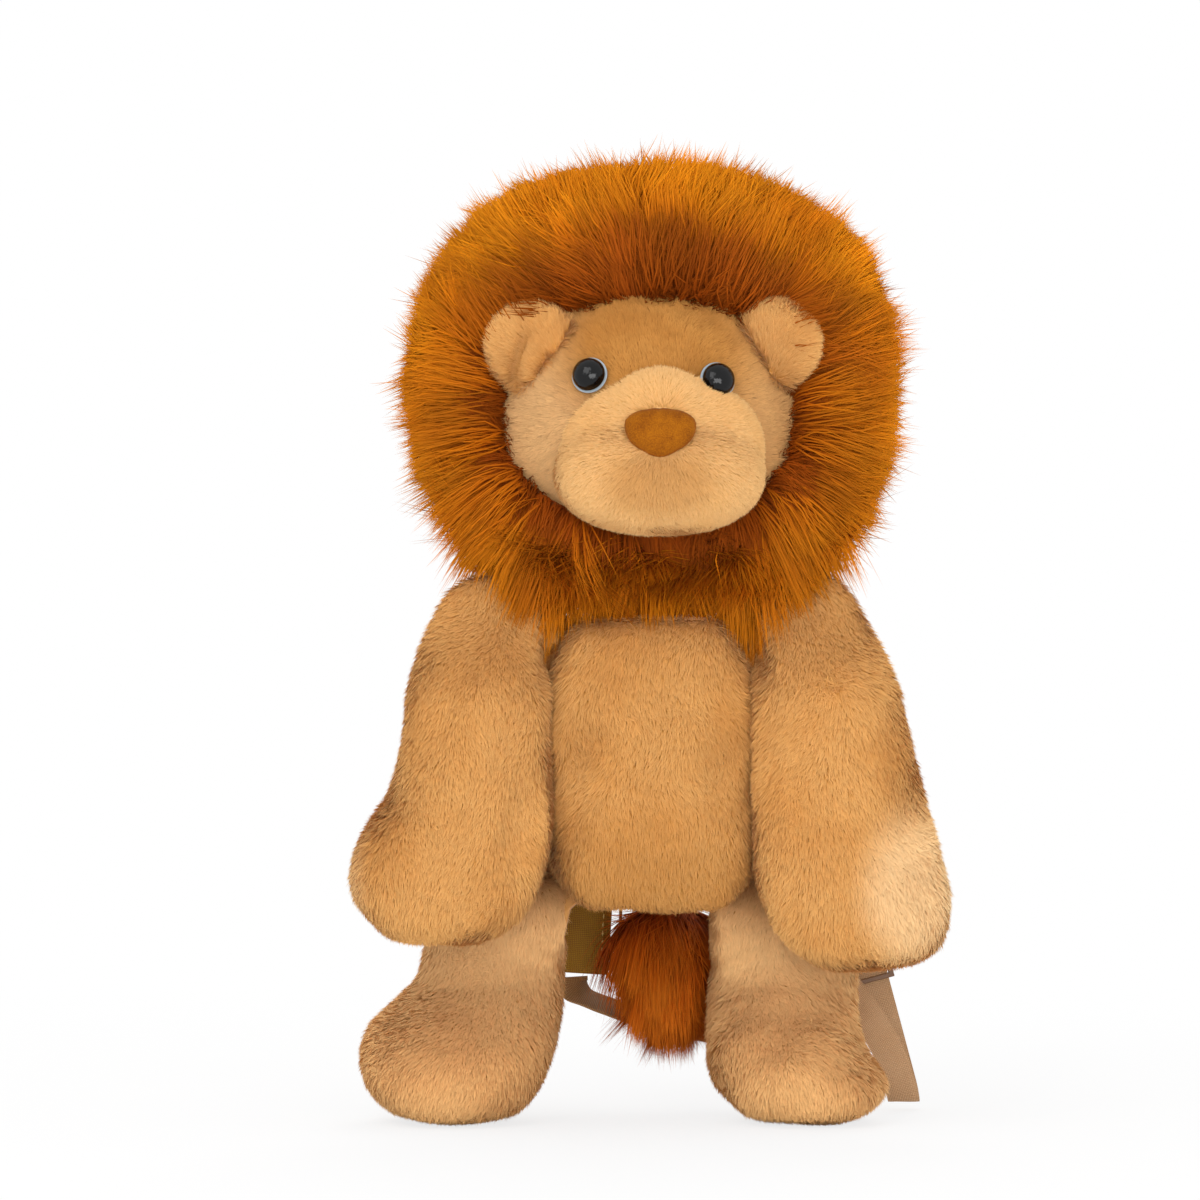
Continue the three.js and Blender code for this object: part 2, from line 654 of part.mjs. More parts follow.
// Yoke patch, hanging loop and shoulder straps
function makeStraps() {
  const yoke = box(
    -yokeWidth / 2, yokeWidth / 2,
    backFace - bagWall, backFace + seamGap + yokeThickness,
    yokeLow, yokeTop,
  );
  const pressed = bagOutside.translate([0, seamGap, 0]);
  addPiece('strap_yoke', yoke.subtract(pressed).subtract(bagOutside), khakiCloth);

  const loop = new THREE.Shape();
  const top = yokeTop + loopRise;
  const bend = loopDepth / 2;
  loop.moveTo(loopInner, yokeLow);
  loop.lineTo(loopInner, top - bend);
  loop.absarc(loopInner + bend, top - bend, bend, Math.PI, 0, true);
  loop.bezierCurveTo(
    loopInner + loopDepth, top - 2.4 * bend, loopInner + 2 * loopCloth, yokeTop + 10,
    loopInner + 2 * loopCloth, yokeTop,
  );
  loop.lineTo(loopInner + 2 * loopCloth, yokeLow);
  loop.closePath();
  const hole = new THREE.Path();
  const inside = bend - loopCloth;
  hole.moveTo(loopInner + loopCloth, yokeTop + 7);
  hole.bezierCurveTo(
    loopInner + loopCloth + 3, yokeTop + 16, loopInner + loopDepth - loopCloth, top - 2.4 * bend,
    loopInner + loopDepth - loopCloth, top - bend,
  );
  hole.absarc(loopInner + bend, top - bend, inside, 0, Math.PI, false);
  hole.closePath();
  loop.holes.push(hole);
  const band = new THREE.ExtrudeGeometry(loop, { depth: loopWidth, bevelEnabled: false, curveSegments: 8 });
  band.rotateX(Math.PI / 2).rotateZ(Math.PI / 2).translate(-loopWidth / 2, 0, 0);
  addPiece('grab_loop', solidOf(band), webbingCloth);
}

// Padded straps hang from the yoke: the left one straight down, the right one out behind the arm.
// A place on a strap is [x, behind the yoke, above the hip line].
const padOut = loopInner + padThickness / 2;
const padUp = yokeTop - 3 - hipZ;
const strapOut = 22; // how far behind the yoke the hanging ends of the straps are

function behindBack([x, out, up]) {
  return new THREE.Vector3(x, padOut + out, hipZ + up);
}

const leftPadPath = [
  [-27, 0, padUp], [-27.5, 2, padUp - 18], [-31, strapOut - 2, 56], [-35, strapOut + 0.5, 0],
  [-37, strapOut, -32],
].map(behindBack);
const rightPadPath = [
  [27, 0, padUp], [31, 2, padUp - 17], [56, strapOut, 62], [84, strapOut + 2, 15], [97, strapOut, -10],
].map(behindBack);

// The left webbing sags across behind the right leg, turns and comes back up to the left tab
const turnX = 46;
const turnDrop = 65; // below the hip line
const passSlope = -0.225;
const passTilt = THREE.MathUtils.degToRad(30); // the front edge is lower than the back edge
const straightX = -5;
const passStops = [straightX, straightX + 4, (straightX + turnX) / 2, turnX - 4, turnX];
const tabLeftX = -14;
const tabLeftRise = backBottom - 8 - hipZ; // its lower end above the hip line
const finDepth = 8; // sewn this deep into the back's seam
const finNose = 9; // height of the fin where it holds the webbing
const finRoot = 22; // height of the fin at the seam

function onPass(x, above) {
  const forward = above * Math.sin(passTilt);
  return behindBack([x, strapOut - forward, above * Math.cos(passTilt) - turnDrop + passSlope * (x - turnX)]);
}

const leftWebbingPath = [
  ...[
    [-37.3, strapOut, -34], [-36.8, strapOut, -38], [-31, strapOut, -43.5], [-19, strapOut, -48.5],
  ].map(behindBack),
  ...passStops.map((x) => onPass(x, 0)),
  onPass(turnX + 3.2, passSpacing / 2 + 0.7),
  ...passStops.toReversed().map((x) => onPass(x, passSpacing)),
  ...[
    [tabLeftX + 1, strapOut, -38], [tabLeftX, strapOut, -20], [tabLeftX, strapOut, tabLeftRise - 2 * seamGap],
  ].map(behindBack),
];

// The right webbing hangs outside the right leg, turns at the foot and comes back up behind the leg
const tabRightX = 51;
const tabRightRise = backBottom + 12 - hipZ;
const tabRightHeight = 16;
const tabRightDepth = 14;
const tabMargin = 1.5; // the tab beyond the webbing
const runTopX = 102;
const runTopDrop = 18; // below the hip line
const runFootX = 118.5;
const runFootRise = 16; // above the sole
const rightHigh = behindBack([runTopX, strapOut + 1, -runTopDrop]);
const rightLow = behindBack([runFootX, strapOut + 1, runFootRise - legLength]);
const rightWebbingPath = [
  behindBack([97.5, strapOut, -11.1]),
  ...[0, 0.08, 0.5, 0.92, 1].map((share) => rightHigh.clone().lerp(rightLow, share)),
  ...[
    [runFootX + 2, strapOut, 8 - legLength], [runFootX + 2.5, strapOut - 5, 3.5 - legLength],
    [runFootX + 1, strapOut - 9, 9 - legLength], [112, strapOut - 10, -66], [90, strapOut - 10, -34],
    [64, strapOut - 14, -4],
    [tabRightX + 0.5, -7.6, tabRightRise - 9], [tabRightX, -8.6, tabRightRise - 3 * seamGap],
  ].map(behindBack),
];

function makeWebbing() {
  const padEdges = { edgeShare: 0.35 };
  addPiece('strap_pad_left', strip(leftPadPath, padWidth, padThickness, 14, padEdges), khakiCloth);
  addPiece('strap_pad_right', strip(rightPadPath, padWidth, padThickness, 14, padEdges), khakiCloth);
  const tilted = new THREE.Vector3(0, Math.cos(passTilt), Math.sin(passTilt));
  const turning = (along) => alongX.clone().lerp(tilted, THREE.MathUtils.smoothstep(along, 0, 0.08));
  const left = strip(leftWebbingPath, webbingWidth, webbingThickness, 60, { sideAt: turning });
  addPiece('webbing_left', left, webbingCloth);
  addPiece('webbing_right', strip(rightWebbingPath, webbingWidth, webbingThickness, 40), webbingCloth);
}

// Tabs that hold the webbing's ends: a fin below the zip's left, and a folded tab behind the right leg
function makeTabs() {
  const clear = bagOutside.add(bagOutside.translate([0, seamGap, 0]));
  const sewn = backFace - finDepth;
  const reach = padOut + strapOut + webbingWidth / 2 + 2;
  const low = hipZ + tabLeftRise;
  const outline = [[sewn, low + 4], [reach, low], [reach, low + finNose], [sewn, low + 4 + finRoot]];
  const fin = new THREE.Shape(outline.map(([y, z]) => new THREE.Vector2(y, z)));
  const tab = new THREE.ExtrudeGeometry(fin, { depth: tabThickness, bevelEnabled: false });
  tab.rotateX(Math.PI / 2).rotateZ(Math.PI / 2).translate(tabLeftX - tabThickness / 2, 0, 0);
  addPiece('anchor_tab_left', solidOf(tab).subtract(clear), khakiCloth);

  const half = webbingWidth / 2 + tabMargin;
  const flat = box(
    tabRightX - half, tabRightX + half,
    backFace - tabRightDepth, backFace + tabMargin,
    hipZ + tabRightRise, hipZ + tabRightRise + tabRightHeight,
  );
  addPiece('anchor_tab_right', flat.subtract(clear), khakiCloth);
}

// Strap adjusters: a frame with a middle bar, free to slide along a straight run of webbing
function makeAdjusters() {
  const side = webbingWidth / 2 + runningGap;
  const half = adjusterLength / 2;
  const lean = Math.atan(passSlope);
  const apart = (passSpacing * Math.cos(lean)) / 2;
  const high = apart + webbingThickness / 2 + runningGap;
  const low = apart - webbingThickness / 2 - runningGap;
  const rim = adjusterRim;
  const frame = box(-half, half, -side - rim, side + rim, -high - adjusterBar, high + adjusterBar);
  const bar = box(-rim, rim, -side - 0.1, side + 0.1, -low, low);
  const left = frame.subtract(box(-far, far, -side, side, -high, high)).add(bar);
  const start = onPass(turnX - half - 4, passSpacing / 2);
  const degrees = THREE.MathUtils.radToDeg;
  const turned = left.rotate([degrees(passTilt), 0, 0]).rotate([0, -degrees(lean), 0]);
  addPiece('adjuster_left', turned.translate([start.x, start.y, start.z]), brownPlastic);

  const slot = webbingThickness / 2 + runningGap;
  const wide = side + rim;
  const deep = slot + adjusterBar;
  const body = box(-wide, wide, -deep, deep, -half, half).subtract(box(-side, side, -slot, slot, -far, far));
  const behind = box(-side, side, -far, 0, -half + rim, half - rim);
  const above = box(-side, side, 0, far, rim / 2 + 0.6, far);
  const below = box(-side, side, 0, far, -far, -rim / 2 - 0.6);
  const glide = body.subtract(behind).subtract(above).subtract(below);
  const run = new THREE.Vector3().subVectors(rightHigh, rightLow).normalize();
  const tilt = (Math.atan2(run.x, run.z) * 180) / Math.PI;
  const at = rightHigh.clone().lerp(rightLow, 0.2);
  addPiece('adjuster_right', glide.rotate([0, tilt, 0]).translate([at.x, at.y, at.z]), brownPlastic);
}

makeBag();
makeZip();
makeSlider();
makeHead();
makeFace();
makeMane();
makeArms();
makeLegs();
makeTail();
makeStraps();
makeWebbing();
makeTabs();
makeAdjusters();

const loopMiddle = loopInner + loopDepth / 2;
const loopTop = yokeTop + loopRise - loopCloth;
lion.position.set(0, -loopMiddle, -loopTop);

const whole = new THREE.Group();
whole.add(lion);
export default whole;
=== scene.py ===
import math
import bmesh
import bpy
import numpy as np
from mathutils import Matrix, Vector
from mathutils.kdtree import KDTree


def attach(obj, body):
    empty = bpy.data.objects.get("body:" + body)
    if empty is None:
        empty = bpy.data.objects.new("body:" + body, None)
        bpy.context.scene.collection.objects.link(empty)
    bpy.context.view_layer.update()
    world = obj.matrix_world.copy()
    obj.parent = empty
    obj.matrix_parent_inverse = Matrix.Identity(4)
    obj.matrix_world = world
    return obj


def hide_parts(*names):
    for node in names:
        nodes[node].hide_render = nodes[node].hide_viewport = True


# A plush lion backpack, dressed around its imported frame. The lion faces -Y.
# Sizes in the dictionaries are millimetres in the frame; meshes are in metres.
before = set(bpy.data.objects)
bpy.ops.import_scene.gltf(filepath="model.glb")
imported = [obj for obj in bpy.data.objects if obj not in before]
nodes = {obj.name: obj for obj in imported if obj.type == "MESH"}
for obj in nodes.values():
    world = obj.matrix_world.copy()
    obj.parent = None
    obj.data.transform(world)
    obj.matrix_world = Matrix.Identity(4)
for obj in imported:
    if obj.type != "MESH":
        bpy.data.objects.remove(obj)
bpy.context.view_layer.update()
scene = bpy.context.scene
mm = 0.001


# helpers for meshes
def linked(name, data):
    piece = bpy.data.objects.new(name, data)
    scene.collection.objects.link(piece)
    return piece


def newPiece(name, shape):
    mesh = bpy.data.meshes.new(name)
    shape.to_mesh(mesh)
    shape.free()
    return linked(name, mesh)


def shapeOf(piece):
    shape = bmesh.new()
    shape.from_mesh(piece.data)
    return shape


def putBack(piece, shape):
    shape.to_mesh(piece.data)
    shape.free()
    return piece


def allOf(shape):
    return shape.verts[:] + shape.edges[:] + shape.faces[:]


def bakeModifiers(piece):
    bpy.context.view_layer.update()
    graph = bpy.context.evaluated_depsgraph_get()
    mesh = bpy.data.meshes.new_from_object(piece.evaluated_get(graph))
    old = piece.data
    piece.modifiers.clear()
    piece.data = mesh
    bpy.data.meshes.remove(old)
    mesh.name = piece.name
    return piece


def modify(piece, kind, **settings):
    modifier = piece.modifiers.new(kind.title(), kind)
    for key, value in settings.items():
        setattr(modifier, key, value)
    return bakeModifiers(piece)


def rowsOf(items, label):
    flat = np.empty(len(items) * 3)
    items.foreach_get(label, flat)
    return flat.reshape(-1, 3)


def placesOf(piece):
    return rowsOf(piece.data.vertices, "co")


def normalsOf(piece):
    return rowsOf(piece.data.vertex_normals, "vector")


def setPlaces(piece, places):
    piece.data.vertices.foreach_set("co", places.ravel())
    piece.data.update()
    return piece


def reshape(piece, change):
    # change takes the places in millimetres with their normals, and gives the new places
    return setPlaces(piece, change(placesOf(piece) / mm, normalsOf(piece)) * mm)


def unit(rows):
    return rows / np.maximum(np.linalg.norm(rows, axis=-1, keepdims=True), 1e-12)


def squareTo(rows, axes):
    # what is left of each row without its part along its axis
    return rows - axes * np.sum(rows * axes, axis=1, keepdims=True)


def smoothstep(value, low, high):
    share = np.clip((value - low) / (high - low), 0, 1)
    return share * share * (3 - 2 * share)


def drift(places, size, seed):
    # a gentle field of wandering directions, about size from one swirl to the next
    rng = np.random.default_rng(seed)
    total = np.zeros((len(places), 3))
    for _ in range(7):
        wave = rng.normal(size=3)
        wave *= 2 * math.pi / size / np.linalg.norm(wave) * rng.uniform(0.6, 1.5)
        total += np.sin(places @ wave + rng.uniform(0, 2 * math.pi))[:, None] * rng.normal(size=3)
    return total / 3


def pillow(name, size, centre, power, inset=0, fineness=5):
    # a sphere that is squarer the higher its power, stretched to a size
    shape = bmesh.new()
    bmesh.ops.create_icosphere(shape, subdivisions=fineness, radius=1)
    half = [s / 2 - inset for s in size]
    for v in shape.verts:
        total = sum(abs(c) ** power for c in v.co)
        v.co = [(c * total ** (-1 / power) * h + m) * mm for c, h, m in zip(v.co, half, centre)]
    return newPiece(name, shape)


def depthIn(places, size, centre, power, grow=0):
    # below 1 inside a pillow of that form, grown on all sides
    return sum(abs((v - c) / (s / 2 + grow)) ** power for v, c, s in zip(places.T, centre, size))


def mergedCopy(name, node):
    shape = shapeOf(nodes[node])
    bmesh.ops.remove_doubles(shape, verts=shape.verts, dist=1e-6)
    bmesh.ops.dissolve_limit(
        shape, angle_limit=math.radians(0.5), verts=shape.verts, edges=shape.edges
    )
    return newPiece(name, shape)


def joined(name, *pieces):
    shape = bmesh.new()
    for piece in pieces:
        shape.from_mesh(piece.data)
        bpy.data.objects.remove(piece)
    return newPiece(name, shape)


def remeshed(piece, voxel, smoothing):
    modify(piece, "REMESH", mode="VOXEL", voxel_size=voxel * mm)
    return modify(piece, "SMOOTH", factor=0.5, iterations=smoothing)


def cutAway(piece, cutter):
    modify(piece, "BOOLEAN", operation="DIFFERENCE", solver="EXACT", object=cutter)
    bpy.data.objects.remove(cutter)


def sunk(piece, depth):
    return reshape(piece, lambda places, normals: places - normals * depth)


def lumpy(piece, depth, size, seed):
    # loose stuffing under the cloth
    def press(places, normals):
        return places + normals * drift(places, size, seed)[:, :1] * depth
    return reshape(piece, press)


def thicken(piece, wall):
    return modify(piece, "SOLIDIFY", thickness=wall * mm, offset=-1, use_even_offset=True,
                  use_rim=True)


# the camera looks along +Y; across is what its view spans at the plane
camera = {"x": -23.9, "z": -31, "plane": -75, "away": 2400, "across": 552, "sensor": 36}


def placeCamera():
    lens = bpy.data.cameras.new("camera")
    lens.sensor_width = camera["sensor"]
    lens.lens = camera["sensor"] * camera["away"] / camera["across"]
    eye = linked("camera", lens)
    eye.location = [camera["x"] * mm, (camera["plane"] - camera["away"]) * mm, camera["z"] * mm]
    eye.rotation_euler = [math.pi / 2, 0, 0]
    scene.camera = eye


placeCamera()
print("camera in place")


# materials
def linear(code):
    values = [int(code[i:i + 2], 16) / 255 for i in (1, 3, 5)]
    return [v / 12.92 if v <= 0.04045 else ((v + 0.055) / 1.055) ** 2.4 for v in values] + [1]


def perMetre(size):
    # the scale of a pattern whose grains are size millimetres across
    return 1000 / size


def add(tree, kind, inputs=None, stops=None, **settings):
    node = tree.nodes.new("ShaderNode" + kind)
    for key, value in settings.items():
        setattr(node, key, value)
    for key, value in (inputs or {}).items():
        if isinstance(value, bpy.types.NodeSocket):
            tree.links.new(value, node.inputs[key])
        else:
            node.inputs[key].default_value = value
    if stops:
        ramp = node.color_ramp.elements
        ramp[0].position, ramp[0].color = stops[0][0], linear(stops[0][1])
        ramp[1].position, ramp[1].color = stops[-1][0], linear(stops[-1][1])
        for place, colour in stops[1:-1]:
            ramp.new(place).color = linear(colour)
    return node


def startMaterial(name):
    material = bpy.data.materials.new(name)
    material.use_nodes = True
    material.node_tree.nodes.clear()
    return material, material.node_tree


def endMaterial(material, surface):
    add(material.node_tree, "OutputMaterial", {"Surface": surface.outputs[0]})
    return material


def pilePlush(name, looks):
    # knitted polyester plush: each fibre carries painted shade at its root and a painted highlight
    # at its tip, and the nap gathers in slightly warmer and paler patches
    material, tree = startMaterial(name)
    along, tone, shade = (add(tree, "Attribute", attribute_name=label).outputs["Fac"]
                          for label in ("along", "tone", "shade"))
    where = add(tree, "TexCoord").outputs["Object"]
    fibre = add(tree, "ValToRGB", {"Fac": along}, stops=looks["fibre"])
    scale = perMetre(looks["patchSize"])
    patches = add(tree, "TexNoise", {"Vector": where, "Scale": scale, "Detail": 2})
    share = add(tree, "MapRange", {
        "Value": patches.outputs["Fac"], "From Min": 0.42, "From Max": 0.68,
        "To Max": looks["patchShare"],
    })
    colour = fibre.outputs["Color"]
    for amount, code in ((share.outputs[0], looks["patch"]), (shade, looks["shade"])):
        mixed = add(tree, "Mix", {0: amount, 6: colour, 7: linear(code)}, data_type="RGBA")
        colour = mixed.outputs[2]
    low, high = looks["tone"]
    bright = add(tree, "MapRange", {"Value": tone, "To Min": low, "To Max": high})
    toned = add(tree, "HueSaturation", {"Color": colour, "Value": bright.outputs[0]})
    return endMaterial(material, add(tree, "BsdfPrincipled", {
        "Base Color": toned.outputs["Color"], "Roughness": looks["roughness"],
        "Sheen Weight": looks["sheen"], "Sheen Roughness": 0.5,
        "Sheen Tint": linear(looks["sheenTint"]), "Specular IOR Level": looks["gloss"],
    }))


def backingPlush(name, deep, light):
    # knitted backing seen between the fibres: matt, darker than the pile, with a fine uneven grain
    material, tree = startMaterial(name)
    where = add(tree, "TexCoord").outputs["Object"]
    grain = add(tree, "TexNoise", {
        "Vector": where, "Scale": perMetre(6), "Detail": 4, "Roughness": 0.7,
    }).outputs["Fac"]
    colour = add(tree, "ValToRGB", {"Fac": grain}, stops=[(0.3, deep), (0.7, light)])
    bump = add(tree, "Bump", {"Height": grain, "Distance": 0.001, "Strength": 0.6})
    return endMaterial(material, add(tree, "BsdfPrincipled", {
        "Base Color": colour.outputs["Color"], "Roughness": 0.95, "Normal": bump.outputs[0],
        "Sheen Weight": 0.2, "Sheen Roughness": 0.5,
    }))


def suede(name, deep, light):
    # brushed polyester suede: short flattened nap in two browns, matt with a soft velvet edge and
    # stroked in patches of some 7 mm, over hairs of 0.5 mm
    material, tree = startMaterial(name)
    where = add(tree, "TexCoord").outputs["Object"]
    brushed = add(tree, "TexNoise", {"Vector": where, "Scale": 140, "Detail": 5, "Roughness": 0.65})
    nap = add(tree, "TexNoise", {"Vector": where, "Scale": 1900, "Detail": 2}).outputs["Fac"]
    both = add(tree, "Math", {0: brushed.outputs["Fac"], 1: nap}, operation="ADD")
    level = add(tree, "Math", {0: both.outputs[0], 1: 0.5}, operation="MULTIPLY")
    colour = add(tree, "ValToRGB", {"Fac": level.outputs[0]}, stops=[(0.36, deep), (0.62, light)])
    bump = add(tree, "Bump", {"Height": nap, "Distance": 0.0004, "Strength": 0.7})
    return endMaterial(material, add(tree, "BsdfPrincipled", {
        "Base Color": colour.outputs["Color"], "Roughness": 0.85, "Normal": bump.outputs[0],
        "Sheen Weight": 0.03, "Sheen Roughness": 0.4, "Specular IOR Level": 0.1,
    }))


def wovenCloth(name, deep, light, thread):
    # woven polyester: warp and weft threads cross in small raised cells, read from the piece's own
    # UV map in metres; the threads are drawn a little coarser than life so that they show, and a
    # wave repeats every 0.314 m divided by its scale
    material, tree = startMaterial(name)
    uv = add(tree, "UVMap", uv_map="cloth").outputs[0]
    warp, weft = (add(tree, "TexWave", {"Vector": uv, "Scale": 314 / thread, "Distortion": 0.4},
                      bands_direction=direction).outputs["Fac"] for direction in "XY")
    weave = add(tree, "Math", {0: warp, 1: weft}, operation="MULTIPLY").outputs[0]
    worn = add(tree, "TexNoise", {"Vector": uv, "Scale": 60, "Detail": 3})
    level = add(tree, "Mix", {0: 0.35, 2: weave, 3: worn.outputs["Fac"]})
    colour = add(tree, "ValToRGB", {"Fac": level.outputs[0]}, stops=[(0.1, deep), (0.6, light)])
    bump = add(tree, "Bump", {"Height": weave, "Distance": 0.0004, "Strength": 0.8})
    return endMaterial(material, add(tree, "BsdfPrincipled", {
        "Base Color": colour.outputs["Color"], "Roughness": 0.8, "Normal": bump.outputs[0],
        "Sheen Weight": 0.05,
    }))


def moulded(name, code, roughness, grain=0.08, metallic=0, gloss=0.5):
    # moulded or cast and polished: one colour with a faint uneven gloss and tiny tool marks
    material, tree = startMaterial(name)
    where = add(tree, "TexCoord").outputs["Object"]
    noise = add(tree, "TexNoise", {"Vector": where, "Scale": perMetre(0.8), "Detail": 3})
    marks = noise.outputs["Fac"]
    polish, value = (add(tree, "MapRange", {"Value": marks, "To Min": low, "To Max": high})
                     for low, high in ((roughness - grain, roughness + grain), (0.9, 1.1)))
    tint = add(tree, "HueSaturation", {"Color": linear(code), "Value": value.outputs[0]})
    bump = add(tree, "Bump", {"Height": marks, "Distance": 0.0001, "Strength": 0.25})
    return endMaterial(material, add(tree, "BsdfPrincipled", {
        "Base Color": tint.outputs["Color"], "Roughness": polish.outputs[0],
        "Metallic": metallic, "Specular IOR Level": gloss, "Normal": bump.outputs[0],
    }))


# fibre colours run from root to tip: the darker roots are painted shade, the paler tips painted
# light
bodyLooks = {
    "fibre": [(0.0, "#C2833A"), (0.4, "#DB9F59"), (0.8, "#E4AC66"), (1.0, "#EDBB79")],
    "patch": "#D6934A", "patchSize": 38, "patchShare": 0.5, "shade": "#FFDDA8",
    "tone": (0.9, 1.06), "roughness": 0.9, "sheen": 0.28, "gloss": 0.08, "sheenTint": "#FFD8A0",
}
# the belly's copy of the plush: its shade colour is painted shade, darkest at the bottom of the
# belly
bellyLooks = dict(bodyLooks, shade="#B47836")
# the legs' copy of the plush is painted brighter: painted light on legs that the arms and belly
# shade
legLooksPaintedLight = dict(bodyLooks, tone=(0.96, 1.12))
faceLooks = dict(
    bodyLooks, fibre=[(0.0, "#98602A"), (0.4, "#C0833F"), (1.0, "#D0944C")],
    patch="#B07030", patchSize=26, tone=(0.84, 1.08),
)
# the muzzle's paler plush; its shade colour is painted shade under the nose
muzzleLooks = dict(
    bodyLooks, fibre=[(0.0, "#BC8442"), (0.4, "#E4AE6A"), (1.0, "#F2C688")],
    patch="#E8B26C", patchSize=30, shade="#C48A4A",
)
# the mane's shade colour is painted shade near the face
maneLooks = {
    "fibre": [(0.0, "#8A3802"), (0.3, "#B65C04"), (0.65, "#CE7608"), (1.0, "#E08C14")],
    "patch": "#BE6208", "patchSize": 34, "patchShare": 0.5, "shade": "#8E3C08",
    "tone": (0.62, 1.2), "roughness": 0.8, "sheen": 0.0, "gloss": 0.08, "sheenTint": "#FFC070",
}
tuftLooks = dict(
    maneLooks, fibre=[(0.0, "#6E2404"), (0.4, "#B04A08"), (0.8, "#CC6410"), (1.0, "#DC7C20")],
    patch="#A04006",
)
longBacking = backingPlush("long pile backing", "#6A2404", "#964A08")

# each finish has a slot and a material
finishes = {
    "bodyPile": ("body_plush", pilePlush("knitted plush pile", bodyLooks)),
    "bellyPile": ("body_plush", pilePlush("knitted plush pile, belly", bellyLooks)),
    "legPile": ("body_plush", pilePlush("knitted plush pile, legs", legLooksPaintedLight)),
    "facePile": ("body_plush", pilePlush("knitted plush pile, face", faceLooks)),
    "muzzlePile": ("muzzle_plush", pilePlush("knitted plush pile, muzzle", muzzleLooks)),
    "manePile": ("mane_pile", pilePlush("long acrylic pile", maneLooks)),
    "tuftPile": ("tuft_pile", pilePlush("long acrylic pile, tail", tuftLooks)),
    "bodyBacking": ("body_plush", backingPlush("knitted plush backing", "#CA8E4A", "#E0A762")),
    "faceBacking": (
        "body_plush", backingPlush("knitted plush backing, face", "#A0662A", "#C88A46")),
    "muzzleBacking": (
        "muzzle_plush", backingPlush("knitted plush backing, muzzle", "#C99450", "#E8B673")),
    "maneBacking": ("mane_pile", longBacking),
    "tuftBacking": ("tuft_pile", longBacking),
    "noseSuede": ("nose_suede", suede("brushed polyester suede", "#763C04", "#9E5C0A")),
    "webbing": ("strap_webbing", wovenCloth("woven polyester webbing", "#7A4E22", "#B08A5A", 0.8)),
    # a paler copy of the same webbing: painted light on the lit right strap
    "litWebbingCopy": (
        "strap_webbing", wovenCloth("woven polyester webbing, pale", "#A87E54", "#D4AC84", 0.8)),
    # khaki strap cloth painted a darker olive: its own colour plus painted shade where the pads
    # hang behind the legs
    "strapCloth": (
        "strap_cloth", wovenCloth("plain woven polyester strap cloth", "#7E5406", "#AC8010", 0.9)),
    "stitchThread": ("strap_cloth", moulded("spun polyester thread", "#D2B878", 0.7, gloss=0.2)),
    "liningCloth": (
        "lining_cloth", wovenCloth("plain woven nylon lining", "#86642F", "#A88450", 0.7)),
    "tapeCloth": ("zip_tape", wovenCloth("knitted zip tape", "#7C5A2E", "#A07844", 0.7)),
    "eyeGloss": (
        "eye_gloss", moulded("moulded glossy acrylic, black", "#040405", 0.04, 0.01, gloss=0.3)),
    "eyeRim": ("eye_rim", moulded("moulded polypropylene rim, grey blue", "#98A4AC", 0.4)),
    "washer": (None, moulded("moulded polypropylene washer, white", "#E6E2D8", 0.45)),
    "zipNylon": ("zip_nylon", moulded("extruded nylon zip coil", "#B78C50", 0.38)),
    "zipMetal": (
        "zip_metal", moulded("die-cast zinc alloy, brassed", "#C39A52", 0.28, metallic=1)),
    "adjusterPlastic": ("adjuster_plastic", moulded("moulded acetal, brown", "#6B4520", 0.4)),
}
print("materials made")


def dress(piece, finish, body, *replaced, fill=None):
    slotName, material = finishes[finish]
    piece.data.materials.clear()
    piece.data.materials.append(material)
    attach(piece, body)
    if replaced:
        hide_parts(*replaced)


# Pile: every fibre is a thin tapering blade rooted on the skin. The same function grows the short
# plush and the long mane. Length, width and swirlSize are millimetres, clumpOf is how many fibres
# share a leader, and the rest are shares. lengthAt, lift, fall and shade are numbers, or rules that
# give one for each place.
shortPile = {
    "length": 6.4, "width": 0.8, "spread": 0.3, "taper": [1], "lengthAt": 1,
    "lift": 0.45, "droop": 0.3, "fall": 0, "curl": 0.06, "swirl": 0.4, "swirlSize": 46,
    "stray": 0.22, "clump": 0.3, "clumpOf": 22, "tuftTone": 0.4, "shade": 0,
    "where": lambda places: 1,
    "comb": lambda places, outward: np.tile([0.0, -0.15, -1.0], (len(places), 1)),
}
longPile = dict(
    shortPile, length=40, width=0.8, spread=0.25, taper=[0.9, 1, 0.65], lift=0.5, droop=0.5,
    curl=0.13, swirl=0.45, swirlSize=36, stray=0.2, clump=0.55, clumpOf=34, tuftTone=0.6,
)


def scattered(skin, where, count, rng):
    # roots spread evenly over the part of the skin that grows fibres, and the way out of it there
    mesh = skin.data
    mesh.calc_loop_triangles()
    corners = np.empty(len(mesh.loop_triangles) * 3, np.int32)
    mesh.loop_triangles.foreach_get("vertices", corners)
    corners = corners.reshape(-1, 3)
    places, normals = placesOf(skin), normalsOf(skin)
    a, b, c = (places[corners[:, k]] for k in range(3))
    areas = np.linalg.norm(np.cross(b - a, c - a), axis=1) / 2
    share = np.cumsum(areas * where((a + b + c) / 3 / mm))
    picks = np.searchsorted(share, (np.arange(count) + rng.random(count)) / count * share[-1])
    picks = np.minimum(picks, len(corners) - 1)
    u = rng.random((count, 2))
    over = u.sum(1) > 1
    u[over] = 1 - u[over]

    def mixed(rows):
        a, b, c = (rows[corners[picks, k]] for k in range(3))
        return a + (b - a) * u[:, :1] + (c - a) * u[:, 1:]

    return mixed(places), unit(mixed(normals))


def downwards(aside, forwards):
    return np.stack([aside, np.full(len(aside), forwards), np.full(len(aside), -1.0)], axis=1)


def ruled(value, places):
    return value(places)[:, None] if callable(value) else value


def nearestOf(places, others):
    tree = KDTree(len(others))
    for number, other in enumerate(others):
        tree.insert(other, number)
    tree.balance()
    return [tree.find(place)[1] for place in places]


